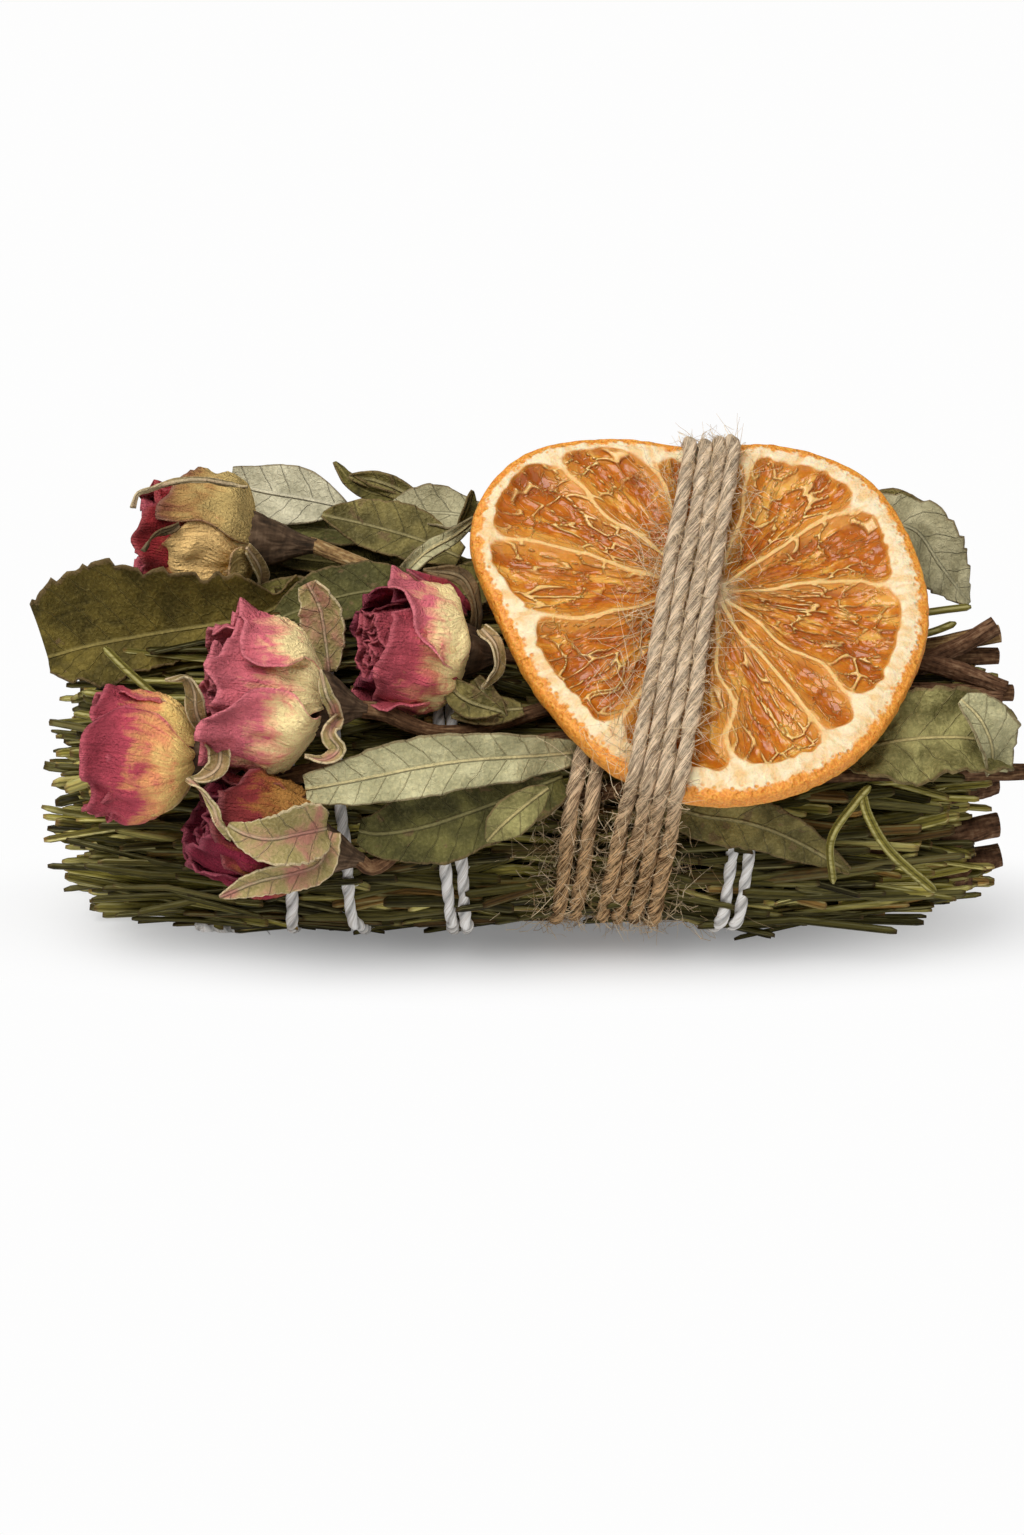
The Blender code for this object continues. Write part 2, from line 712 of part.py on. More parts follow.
def top_leaves():
    """The leaves on top of the bundle and behind the roses."""
    Leaf(
        "leaf_cradle",
        face=(0.0, -0.2, 1.0),
        half_width=9.5,
        spine=[
            (-28.5, -2.5, 50.4),
            (-37.5, -3.5, 48.4),
            (-46.8, -4.0, 46.8),
            (-55.0, -5.0, 45.4),
            (-62.0, -7.0, 43.8),
            (-65.5, -9.5, 40.8),
        ],
        raised=(2, 45),
        rolled=(10, 25),
        base=0.4,
        tip=0.4,
        fullest=0.7,
    ).build()
    Leaf(
        "leaf_pale_back",
        face=(0.0, -0.9, 0.45),
        half_width=4.6,
        spine=[(-24.3, 17.0, 58.4), (-31.0, 20.0, 58.8), (-36.9, 22.0, 59.2), (-41.7, 23.5, 60.0)],
        tip=0.5,
        colour="pale_leaf",
    ).build()
    Leaf(
        "leaf_dark_tip",
        face=(0.0, -1.0, 0.3),
        half_width=1.6,
        spine=[(-15.6, 16.8, 59.9), (-20.5, 18.5, 60.1), (-23.5, 20.0, 61.3), (-26.1, 22.0, 63.7)],
        raised=(30, 30),
        rolled=(20, 20),
    ).build()
    Leaf(
        "leaf_olive",
        face=(0.0, -0.7, 0.7),
        half_width=4.8,
        spine=[(-7.5, 7.2, 54.0), (-13.3, 8.8, 56.1), (-20.6, 10.0, 57.9), (-27.6, 11.0, 59.2)],
        raised=(8, 8),
        rolled=(15, 10),
        base=0.4,
    ).build()
    Leaf(
        "leaf_curled",
        face=(0.0, -0.5, 0.8),
        half_width=4.0,
        spine=[(-3.5, 12.5, 57.6), (-6.7, 13.8, 59.6), (-12.8, 14.8, 60.2), (-19.6, 15.4, 59.3)],
        raised=(20, 20),
        rolled=(70, 60),
        base=0.5,
    ).build()
    Leaf(
        "leaf_pale_rib",
        face=(0.0, -1.0, 0.3),
        half_width=1.3,
        spine=[(-16.5, 1.3, 52.6), (-12.5, 2.5, 56.4), (-8.5, 4.5, 58.2), (-5.5, 6.5, 60.0)],
        raised=(10, 10),
        base=0.8,
        tip=0.4,
        colour="pale_leaf",
    ).build()
    Leaf(
        "leaf_under_rose",
        face=(0.0, -0.2, 1.0),
        half_width=5.0,
        spine=[(-10.3, 0.5, 47.8), (-17.0, -1.0, 48.4), (-22.5, -2.2, 48.6), (-28.2, -2.5, 49.1)],
        raised=(10, 10),
        rolled=(10, 15),
        base=0.4,
    ).build()
    Leaf(
        "leaf_upright",
        face=(0.0, -1.0, 0.3),
        half_width=2.6,
        spine=[(-25.9, -13.0, 44.0), (-26.3, -12.2, 48.0), (-27.1, -11.5, 53.0), (-28.8, -11.0, 56.6)],
        raised=(10, 25),
        rolled=(20, 30),
        base=0.4,
        tip=0.4,
        colour="pale_leaf",
    ).build()


def front_leaves():
    """The leaves on the front of the bundle, left of the twine."""
    Leaf(
        "leaf_front_pale",
        face=(0.0, -1.0, 0.3),
        half_width=4.6,
        spine=[
            (3.5, -30.2, 37.8),
            (-3.0, -30.4, 37.9),
            (-9.6, -30.6, 36.9),
            (-17.1, -31.0, 35.9),
            (-22.4, -31.8, 34.8),
            (-26.2, -32.8, 34.8),
        ],
        raised=(12, 12),
        rolled=(10, 15),
        base=0.35,
        tip=0.5,
        fullest=0.7,
        colour="pale_leaf",
    ).build()
    Leaf(
        "leaf_front_green",
        face=(0.0, -1.0, 0.3),
        half_width=5.2,
        spine=[
            (3.8, -29.7, 33.0),
            (-1.7, -29.7, 29.2),
            (-9.0, -29.8, 26.6),
            (-15.0, -29.8, 25.8),
            (-20.5, -29.6, 26.4),
        ],
        rolled=(5, 5),
        base=0.5,
        tip=0.3,
        fullest=0.65,
    ).build()
    Leaf(
        "leaf_beside_rose",
        face=(0.0, -0.6, 0.8),
        half_width=2.6,
        spine=[(1.5, -19.4, 40.8), (-2.5, -20.2, 40.7), (-8.5, -21.2, 40.2)],
        base=0.5,
    ).build()


def stem_end_leaves():
    """The leaves right of the twine, towards the cut stems."""
    Leaf(
        "leaf_back_right",
        face=(0.0, -0.8, 0.6),
        half_width=6.4,
        spine=[
            (36.0, 5.5, 47.7),
            (46.0, 10.0, 50.5),
            (54.0, 12.0, 53.5),
            (61.9, 12.0, 51.4),
            (67.5, 12.0, 46.4),
        ],
        raised=(10, 10),
        rolled=(10, 20),
        base=0.3,
        tip=0.15,
    ).build()
    Leaf(
        "leaf_right_curl",
        face=(0.0, -0.8, 0.6),
        half_width=6.7,
        spine=[
            (47.0, -21.6, 34.4),
            (54.4, -21.4, 36.4),
            (61.2, -22.0, 37.5),
            (66.0, -22.0, 37.6),
            (69.5, -22.5, 37.2),
        ],
        raised=(10, 10),
        rolled=(5, 10),
        base=0.3,
        tip=0.5,
        fullest=0.6,
    ).build()
    Leaf(
        "leaf_below_slice",
        face=(0.0, -1.0, 0.3),
        half_width=4.0,
        spine=[(24.5, -26.8, 27.8), (29.0, -27.0, 28.6), (35.0, -27.2, 27.4), (42.0, -27.2, 21.0)],
        base=0.5,
        tip=0.15,
    ).build()


def back_leaves():
    """The two leaves laid along the back of the bundle."""
    Leaf(
        "leaf_behind_left",
        face=(0.0, 1.0, 0.2),
        half_width=6.0,
        spine=[(-6.0, 26.2, 31.5), (-18.0, 26.2, 29.5), (-31.0, 26.2, 26.5), (-43.0, 25.6, 24.0)],
        raised=(3, 3),
        rolled=(0, 0),
        base=0.3,
    ).build()
    Leaf(
        "leaf_behind_right",
        face=(0.0, 1.0, 0.2),
        half_width=5.4,
        spine=[(39.0, 21.2, 33.5), (48.0, 21.3, 31.0), (57.0, 20.9, 27.5), (65.0, 20.0, 24.0)],
        raised=(8, 8),
        rolled=(0, 0),
        base=0.3,
    ).build()


# ---------------------------------------------------------------- whole


def stand_on_origin():
    """Moves every piece so that the origin is the middle of the bundle's footprint."""
    pieces = list(bpy.data.collections["smudge_stick"].objects)
    bpy.context.view_layer.update()
    graph = bpy.context.evaluated_depsgraph_get()
    corners = []
    for piece in pieces:
        finished = piece.evaluated_get(graph)
        corners += [vertex.co.copy() for vertex in finished.to_mesh().vertices]
        finished.to_mesh_clear()
    low = Vector(min(c[k] for c in corners) for k in range(3))
    high = Vector(max(c[k] for c in corners) for k in range(3))
    for piece in pieces:
        piece.location -= Vector(((low.x + high.x) / 2, (low.y + high.y) / 2, low.z))


def main():
    """Builds the smudge stick in a cleared scene."""
    for old in list(bpy.data.objects):
        bpy.data.objects.remove(old)
    bpy.context.scene.collection.children.link(bpy.data.collections.new("smudge_stick"))
    rosemary_bundle()
    cotton_string()
    roses()
    top_leaves()
    front_leaves()
    stem_end_leaves()
    back_leaves()
    orange_slice()
    jute_twine()
    stand_on_origin()


main()
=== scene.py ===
"""The looks of the smudge stick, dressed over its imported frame.

The bundle is laid out in millimetres, as it lies: +X runs from the leaf tips to the cut stems,
-Y is the dressed front and +Z is up. `Layout.place` turns such points into the frame's metres.
"""

import itertools
import logging
import math
import random
from dataclasses import dataclass
from enum import Enum
from typing import Any, Sequence

import bmesh
import bpy
import numpy as np
from bpy.types import ColorRamp, Material, Node, NodeSocket, NodeTree, Object
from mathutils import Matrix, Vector


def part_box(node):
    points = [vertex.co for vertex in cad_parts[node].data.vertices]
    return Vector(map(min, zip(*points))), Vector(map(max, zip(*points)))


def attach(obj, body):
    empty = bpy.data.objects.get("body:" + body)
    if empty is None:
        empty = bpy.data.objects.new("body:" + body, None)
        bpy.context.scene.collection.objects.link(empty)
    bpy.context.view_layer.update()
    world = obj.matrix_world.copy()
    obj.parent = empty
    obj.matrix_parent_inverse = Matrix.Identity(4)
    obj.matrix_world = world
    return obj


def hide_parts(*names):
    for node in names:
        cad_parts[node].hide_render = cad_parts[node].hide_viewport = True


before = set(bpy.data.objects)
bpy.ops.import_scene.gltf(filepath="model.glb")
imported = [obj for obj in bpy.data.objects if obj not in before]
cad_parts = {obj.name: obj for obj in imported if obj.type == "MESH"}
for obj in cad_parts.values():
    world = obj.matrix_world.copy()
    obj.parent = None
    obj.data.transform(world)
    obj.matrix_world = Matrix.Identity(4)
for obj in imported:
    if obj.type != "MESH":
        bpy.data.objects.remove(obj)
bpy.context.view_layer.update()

log = logging.getLogger("smudge_stick")

# A millimetre in metres, millimetres in a metre, and a full turn.
MM = 0.001
PER_METRE = 1000
TAU = math.tau
Colour = tuple[float, float, float]
Point = tuple[float, float, float]
Pair = tuple[float, float]
Array = np.ndarray


# ---- numbers


def blend(a: Any, b: Any, t: Any) -> Any:
    """The value a share t of the way from a to b."""
    return a + (b - a) * t


def ease(low: float, high: float, value: Array | float) -> Array:
    """A smooth step from 0 below low to 1 above high.

    Args:
        low: Where the step starts.
        high: Where it ends, which may be below low for a falling step.
        value: What is compared.

    Returns:
        The step's height for each value.
    """
    t = np.clip((np.asarray(value, float) - low) / (high - low), 0.0, 1.0)
    return t * t * (3.0 - 2.0 * t)


def unit(vectors: Array) -> Array:
    """The vectors at length one."""
    vectors = np.asarray(vectors, float)
    return vectors / np.maximum(np.linalg.norm(vectors, axis=-1, keepdims=True), 1e-12)


def catmull_rom(a: Any, b: Any, c: Any, d: Any, t: Any) -> Any:
    """The value a share t of the way from b to c on a smooth curve through all four."""
    bend = (a * 2 - b * 5 + c * 4 - d) * t**2 + (b * 3 - a - c * 3 + d) * t**3
    return (b * 2 + (c - a) * t + bend) / 2


def smooth_path(points: Sequence[Point] | Array, per_span: int) -> Array:
    """Points of a smooth curve through the given ones.

    Args:
        points: The points that the curve passes, in order.
        per_span: How many points it gets between two of them.

    Returns:
        The curve's points, one to a row.
    """
    given = np.asarray(points, float)
    ends = np.vstack((given[0] * 2 - given[1], given, given[-1] * 2 - given[-2]))
    path = [
        catmull_rom(ends[i], ends[i + 1], ends[i + 2], ends[i + 3], k / per_span)
        for i in range(len(given) - 1)
        for k in range(per_span)
    ]
    return np.array([*path, given[-1]])


def evenly(path: Array, step: float) -> Array:
    """The same path with its points about step apart."""
    reached = distances(path)
    wanted = np.linspace(0.0, reached[-1], max(2, round(reached[-1] / step)) + 1)
    return np.stack([np.interp(wanted, reached, path[:, k]) for k in range(3)], axis=1)


def distances(path: Array) -> Array:
    """How far along the path each of its points is."""
    return np.concatenate(([0.0], np.cumsum(np.linalg.norm(np.diff(path, axis=0), axis=1))))


def ring_angles(count: int) -> Array:
    """Angles that share a full turn evenly."""
    return TAU * np.arange(count) / count


def value_noise(points: Array, seed: int) -> Array:
    """Smooth noise between -1 and 1, with features about one unit across.

    Args:
        points: Places, with three numbers in the last dimension.
        seed: Picks one of many such noises.

    Returns:
        The noise at each place.
    """
    points = np.asarray(points, float)
    cell = np.floor(points).astype(np.int64)
    share = points - cell
    fade = share * share * (3.0 - 2.0 * share)
    total = np.zeros(points.shape[:-1])
    for corner in itertools.product((0, 1), repeat=3):
        mixed = np.full(total.shape, seed * 7919 + 1013, np.int64)
        weight = np.ones_like(total)
        for axis, prime in enumerate((73856093, 19349663, 83492791)):
            mixed = mixed ^ ((cell[..., axis] + corner[axis]) * prime)
            weight = weight * (fade[..., axis] if corner[axis] else 1.0 - fade[..., axis])
        mixed = (mixed ^ (mixed >> 13)) * 1274126177 & 0xFFFFFFFF
        mixed = (mixed ^ (mixed >> 16)) & 0xFFFF
        total += (mixed / 32767.5 - 1.0) * weight
    return total


def noise_at(seed: int, x: Any, y: Any = 0.0, z: Any = 0.0) -> Array:
    """The smooth noise at places given by their three numbers."""
    return value_noise(stacked(x, y, z), seed)


def rough_noise(points: Array, seed: int) -> Array:
    """Noise summed from three layers, each half as large and half as strong."""
    points = np.asarray(points, float)
    return sum(value_noise(points * 2**k, seed + k) / 2**k for k in range(3)) / 1.6


def stacked(*columns: Array | float) -> Array:
    """Columns of numbers as one array of points."""
    return np.stack(np.broadcast_arrays(*columns), axis=-1).astype(float)


# ---- shapes shared with the frame


@dataclass(frozen=True)
class CoreShape:
    """The bundle's outline, drawn in by the twine and tapering at both ends."""

    half_width: float = 23.5
    half_height: float = 19.4
    centre: float = 22.4
    roundness_top: float = 2.1
    roundness_bottom: float = 3.6
    taper: float = 0.13
    straight: float = 35.0
    taper_length: float = 30.0
    tied_at: float = 13.0
    pinch: float = 1.5
    pinch_reach: float = 13.0
    undercut: float = 2.7
    undercut_at: float = math.radians(238.0)
    undercut_spread: float = 0.6
    steps: int = 90

    def half_sizes(self, x: Array | float) -> tuple[Array, Array]:
        """Half width and half height at x."""
        end = np.maximum(0.0, np.abs(x) - self.straight) / self.taper_length
        taper = 1.0 - self.taper * end**2
        drawn_in = self.pinch * np.exp(-(((x - self.tied_at) / self.pinch_reach) ** 2))
        return self.half_width * taper - drawn_in, self.half_height * taper - drawn_in

    def section(self, x: Array | float, angle: Array | float, lift: Array | float = 0.0) -> Array:
        """Points on the outline.

        Args:
            x: Where along the bundle.
            angle: How far round it, from +Y through the top, in radians.
            lift: How far outside the outline.

        Returns:
            The points, in layout millimetres.
        """
        x, angle, lift = np.broadcast_arrays(np.asarray(x, float), angle, lift)
        half_width, half_height = self.half_sizes(x)
        power = np.where(np.sin(angle) >= 0, self.roundness_top, self.roundness_bottom)

        def spot(a: Array) -> Array:
            """(y, z) from the middle line at angle a."""
            y = np.sign(np.cos(a)) * np.abs(np.cos(a)) ** (2 / power) * half_width
            z = np.sign(np.sin(a)) * np.abs(np.sin(a)) ** (2 / power) * half_height
            return stacked(y, z)

        step = 0.02
        along = spot(angle + step) - spot(angle - step)
        outward = unit(stacked(along[..., 1], -along[..., 0]))
        flat = spot(angle) + outward * lift[..., None]
        cut = self.undercut * np.exp(-(((angle % TAU - self.undercut_at) / self.undercut_spread) ** 2))
        flat = flat + stacked(cut * 0.5, cut)
        return stacked(x, flat[..., 0], flat[..., 1] + self.centre)

    def outline(self, x: float, lift: float = 0.0) -> Array:
        """(y, z) points all round the outline at x."""
        return self.section(x, ring_angles(self.steps), lift)[:, 1:]

    def even_angles(self, count: int, lift: float) -> Array:
        """Angles that space count points evenly round the outline at its middle."""
        steps = 720
        angles = TAU * np.arange(steps + 1) / steps
        reached = distances(self.section(0.0, angles, lift))
        return angles[np.searchsorted(reached, np.arange(count) / count * reached[-1])]


@dataclass(frozen=True)
class SliceShape:
    """The orange slice's outline and how it lies: tilted, dished and dried out of round."""

    centre: Point = (26.2, -11.7, 51.1)
    reaches: tuple[float, ...] = (
        *(32.3, 33.3, 34.2, 31.4, 28.0, 31.4, 35.6, 34.5),
        *(28.5, 25.8, 25.4, 27.8, 30.0, 30.7, 30.9, 30.9)
    )
    thickness: float = 4.2
    tilt: float = math.radians(37.0)
    turn: float = math.radians(4.0)
    dish: float = 1.2
    bend: float = 3.0
    bend_place: float = math.radians(222.0)
    bend_spread: float = 0.6
    solid_steps: int = 60
    solid_face: float = 0.9
    solid_rim: float = 0.86

    def axes(self) -> tuple[Array, Array, Array]:
        """The slice's own axes: across its face, up its face, and out of its face."""
        out = np.array((0.0, -math.sin(self.tilt), math.cos(self.tilt)))
        up = np.array((0.0, math.cos(self.tilt), math.sin(self.tilt)))
        across = np.array((1.0, 0.0, 0.0))
        turned_out = out * math.cos(self.turn) + across * math.sin(self.turn)
        return across * math.cos(self.turn) - out * math.sin(self.turn), up, turned_out

    def reach(self, around: Array | float) -> Array:
        """Distance from the middle to the rind in each direction."""
        count = len(self.reaches)
        known = np.array(self.reaches)
        spot = np.asarray(around, float) / TAU % 1.0 * count
        before = np.floor(spot).astype(int)
        a, b, c, d = (known[(before + k) % count] for k in (-1, 0, 1, 2))
        return catmull_rom(a, b, c, d, spot - before)

    def point(self, around: Array | float, share: Array | float, height: Array | float) -> Array:
        """Points of the slice.

        Args:
            around: The direction from its middle, in radians.
            share: How far out, as a share of the way to the rind.
            height: How far out of the middle plane, in millimetres.

        Returns:
            The points, in layout millimetres.
        """
        around, share, height = np.broadcast_arrays(around, share, height)
        across, up, out = self.axes()
        reach = self.reach(around) * share
        off_bend = (around - self.bend_place + math.pi) % TAU - math.pi
        near_bend = np.exp(-((off_bend / self.bend_spread) ** 2))
        lifted = height + self.dish * share**2 - self.bend * share**3 * near_bend
        flat = across * (np.cos(around) * reach)[..., None] + up * (np.sin(around) * reach)[..., None]
        return np.array(self.centre) + flat + out * lifted[..., None]

    def low_corner(self) -> Array:
        """The lowest corner of the solid slice's box, in layout millimetres."""
        around = ring_angles(self.solid_steps)
        half = self.thickness / 2
        rings = [self.point(around, self.solid_face, side * half) for side in (1, -1)]
        rings += [self.point(around, 1.0, side * half * self.solid_rim) for side in (1, -1)]
        return np.vstack(rings).min(axis=0)


CORE = CoreShape()
SLICE = SliceShape()


@dataclass(frozen=True)
class Layout:
    """Where the layout lies in the frame."""

    shift: Point

    @classmethod
    def from_frame(cls) -> "Layout":
        """The layout that puts the slice's outline on the slice of the frame."""
        low = np.array(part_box("orange_slice")[0])
        return cls(tuple(low - SLICE.low_corner() * MM))

    def place(self, points: Array) -> Array:
        """Layout millimetres as metres in the frame."""
        return np.asarray(points, float) * MM + np.array(self.shift)


LAYOUT = Layout.from_frame()


@dataclass(frozen=True)
class TieRoutes:
    """The middle lines of the string and the twine: taut over all that lies inside them."""

    cotton_radius: float = 0.9
    cotton_clearance: float = 1
    cotton_steps: int = 14
    jute_radius: float = 1.15
    jute_clearance: float = 0.1
    jute_steps: int = 18
    tucked_steps: int = 3
    gap: float = 0.3
    stem_lift: float = 3.9
    stem_radius: float = 1.15
    slice_low_edge: float = 31
    slice_top: float = 69
    rim_steps: int = 60
    rim_shares: Pair = (0.965, 0.87)
    turns_under_slice: int = 2
    turns: tuple[Point, ...] = (
        (5.6, 8.6, 17.5), (8.3, 11.1, 20), (12, 15.3, 25.1), (14.5, 17.4, 27.3), (17, 19.5, 29.4),
        (19.5, 21.6, 31.4), (22, 24, 33.4)
    )

    @staticmethod
    def taut(outline: Array, direction: float, offset: float) -> Array:
        """Where a taut cord at that offset touches a set of (y, z) points."""
        outward = np.array((math.cos(direction), math.sin(direction)))
        return outline[np.argmax(outline @ outward)] + outward * offset

    def cotton(self) -> Array:
        """The string's middle line: its tail along the bottom, then its turns."""
        places = [(-45.0, -116), (-41.0, -112), (-37.5, -105), (-35.3, -93)]
        places = [(x, math.radians(degrees)) for x, degrees in places]
        crossings = [(-33.8, -31.0), (-31.4, -26.5), (-20.6, -11.0), (-7.9, -8.9), (-5.8, 34.6)]
        crossings += [(28.0, 36.8), (30.1, 38.0)]
        for (low, top), (following, _) in zip(crossings, crossings[1:]):
            for k in range(self.cotton_steps):
                share = (k + 0.5) / self.cotton_steps
                rising = share < 0.5
                x = blend(low, top, share * 2) if rising else blend(top, following, share * 2 - 1)
                places.append((x, TAU * (share - 0.25)))
        offset = self.cotton_radius + self.cotton_clearance
        return np.array([(x, *self.taut(CORE.outline(x), angle, offset)) for x, angle in places])

    def front_x(self, turn: Point, z: float) -> float:
        """Where the front of a turn of twine is along X at height z."""
        low, edge, high = turn
        if z < self.slice_low_edge:
            return blend(low, edge, z / self.slice_low_edge)
        return blend(edge, high, (z - self.slice_low_edge) / (self.slice_top - self.slice_low_edge))

    def back_x(self, turn: Point, following: Point, z: float) -> float:
        """Where the twine is along X at height z behind the bundle, between two turns."""
        return blend(following[0], turn[2], z / self.slice_top)

    def slice_edges(self, turn: Point) -> list[Array]:
        """(y, z) of the rind's edges where a turn of twine crosses them."""
        found = []
        half = SLICE.thickness / 2
        for start in (0.0, math.pi):
            around = start + math.pi * np.arange(self.rim_steps + 1) / self.rim_steps
            edges = np.stack(
                [SLICE.point(around, share, side) for side in (half, -half) for share in self.rim_shares]
            )
            off = [abs(x - self.front_x(turn, z)) for x, _, z in edges[0]]
            found += list(edges[:, int(np.argmin(off)), 1:])
        return found

    def inside(self, turn: Point, following: Point, holds_slice: bool) -> Array:
        """(y, z) points of all that a turn of twine is drawn over.

        Args:
            turn: Where the turn's front is along X at the bottom, the slice's foot and its top.
            following: The same for the next turn.
            holds_slice: Whether the turn passes over the slice.

        Returns:
            The points of the core, the stems on it, the string and the slice.
        """
        middle = turn[1]
        over_stems = self.stem_lift + self.stem_radius + self.gap
        outline = list(CORE.outline(middle, 2 * self.gap))
        outline += list(CORE.section(middle, np.radians(np.arange(80, 166, 5)), over_stems)[:, 1:])
        reach = self.jute_radius + self.cotton_radius + 2 * self.gap
        for x, y, z in smooth_path(self.cotton(), 4):
            near = self.front_x(turn, z) if y < 0 else self.back_x(turn, following, z)
            if abs(x - near) < reach:
                outward = unit(np.array((y, z - CORE.centre)))
                outline.append(np.array((y, z)) + outward * self.cotton_radius)
        if holds_slice:
            outline += self.slice_edges(turn)
        return np.array(outline)

    def jute(self) -> Array:
        """The twine's middle line."""
        path = []
        for number, (turn, following) in enumerate(zip(self.turns, self.turns[1:])):
            outline = self.inside(turn, following, number >= self.turns_under_slice)
            for k in range(self.jute_steps):
                direction = -math.pi / 2 - TAU * (k + 0.5) / self.jute_steps
                y, z = self.taut(outline, direction, self.jute_radius + self.jute_clearance)
                front = k < self.jute_steps / 2
                x = self.front_x(turn, z) if front else self.back_x(turn, following, z)
                path.append((x, y, z))
        return np.array(path[: -self.tucked_steps])


# ---- meshes


class Mesh:
    """Ways to turn arrays of layout points into objects of the scene."""

    @staticmethod
    def link(name: str, data: bpy.types.Mesh) -> Object:
        """An object of that mesh in the scene."""
        made = bpy.data.objects.new(name, data)
        bpy.context.scene.collection.objects.link(made)
        return made

    @staticmethod
    def build(
        name: str, points: Array, faces: list[Sequence[int]], corner_uv: Array | None = None,
        attributes: dict[str, Array] | None = None
    ) -> Object:
        """An object from points and faces.

        Args:
            name: The object's name.
            points: Places in layout millimetres, one to a row.
            faces: The indexes of each face's corners.
            corner_uv: The UV of each face's corners, in the order of faces.
            attributes: Numbers or vectors at each point, by name.

        Returns:
            The object, smooth shaded.
        """
        data = bpy.data.meshes.new(name)
        data.from_pydata(LAYOUT.place(points).tolist(), [], faces)
        if corner_uv is not None:
            layer = data.uv_layers.new(name="UVMap")
            layer.data.foreach_set("uv", np.asarray(corner_uv, np.float32).ravel())
        for key, values in (attributes or {}).items():
            vector = values.shape[-1] == 3
            layer = data.attributes.new(key, "FLOAT_VECTOR" if vector else "FLOAT", "POINT")
            layer.data.foreach_set("vector" if vector else "value", values.astype(np.float32).ravel())
        data.shade_smooth()
        return Mesh.link(name, data)

    @staticmethod
    def grid(
        name: str, points: Array, closed: bool = False, capped: bool = False,
        attributes: dict[str, Array] | None = None
    ) -> Object:
        """An object from rows of points.

        Args:
            name: The object's name.
            points: Rows by columns by three, in layout millimetres.
            closed: Whether each row is a ring whose last point meets its first.
            capped: Whether the first and last rows are closed at their middle.
            attributes: Rows by columns of numbers or vectors, by name.

        Returns:
            The object, with U along the rows and V across them as its UV map.
        """
        rows, columns = points.shape[:2]
        spans = columns if closed else columns - 1
        row, column = np.meshgrid(np.arange(rows - 1), np.arange(spans), indexing="ij")
        row, column = row.ravel(), column.ravel()
        corners = ((0, 0), (0, 1), (1, 1), (1, 0))
        quads = np.stack([(row + r) * columns + (column + c) % columns for r, c in corners], axis=1)
        uv = [stacked((row + r) / (rows - 1), (column + c) / spans) for r, c in corners]
        corner_uv = np.stack(uv, axis=1).reshape(-1, 2)
        faces = quads.tolist()
        flat = points.reshape(-1, 3)
        extra = {key: np.reshape(v, (rows * columns, -1)) for key, v in (attributes or {}).items()}
        for end, order in ((0, 1), (rows - 1, -1)) if capped else ():
            ring = np.arange(columns) + end * columns
            middle = len(flat)
            flat = np.vstack((flat, flat[ring].mean(axis=0)))
            extra = {key: np.vstack((v, v[ring].mean(axis=0))) for key, v in extra.items()}
            share = end / (rows - 1)
            for i in range(columns):
                pair = (int(ring[(i + 1) % columns]), int(ring[i]))[::order]
                faces.append((*pair, middle))
            cap_uv = [((share, i / spans), (share, (i + 1) / spans), (share, 0.5)) for i in range(columns)]
            corner_uv = np.vstack((corner_uv, np.array(cap_uv).reshape(-1, 2)))
        return Mesh.build(name, flat, faces, corner_uv, extra)

    @staticmethod
    def outward(piece: Object) -> Object:
        """The same closed piece, with its faces turned outwards."""
        work = bmesh.new()
        work.from_mesh(piece.data)
        bmesh.ops.recalc_face_normals(work, faces=work.faces)
        work.to_mesh(piece.data)
        work.free()
        return piece

    @staticmethod
    def solid(name: str, rings: Array, **attributes: Array) -> Object:
        """A closed piece from rings of points, with those attributes."""
        return Mesh.outward(Mesh.grid(name, rings, closed=True, capped=True, attributes=attributes))

    @staticmethod
    def finished(piece: Object) -> Object:
        """The piece with its modifiers applied."""
        graph = bpy.context.evaluated_depsgraph_get()
        data = bpy.data.meshes.new_from_object(
            piece.evaluated_get(graph), preserve_all_data_layers=True, depsgraph=graph
        )
        piece.modifiers.clear()
        old = piece.data
        piece.data = data
        bpy.data.meshes.remove(old)
        data.name = piece.name
        return piece

    @staticmethod
    def thickened(piece: Object, thickness: float) -> Object:
        """A thin sheet given that thickness in millimetres, half to each side."""
        solidify = piece.modifiers.new("thickness", "SOLIDIFY")
        solidify.thickness = thickness * MM
        solidify.offset = 0.0
        return Mesh.finished(piece)

    @staticmethod
    def joined(name: str, pieces: Sequence[Object]) -> Object:
        """One object from several, which keep their finishes."""
        first = pieces[0]
        with bpy.context.temp_override(
            active_object=first, object=first, selected_objects=pieces, selected_editable_objects=pieces
        ):
            bpy.ops.object.join()
        first.name = first.data.name = name
        return first


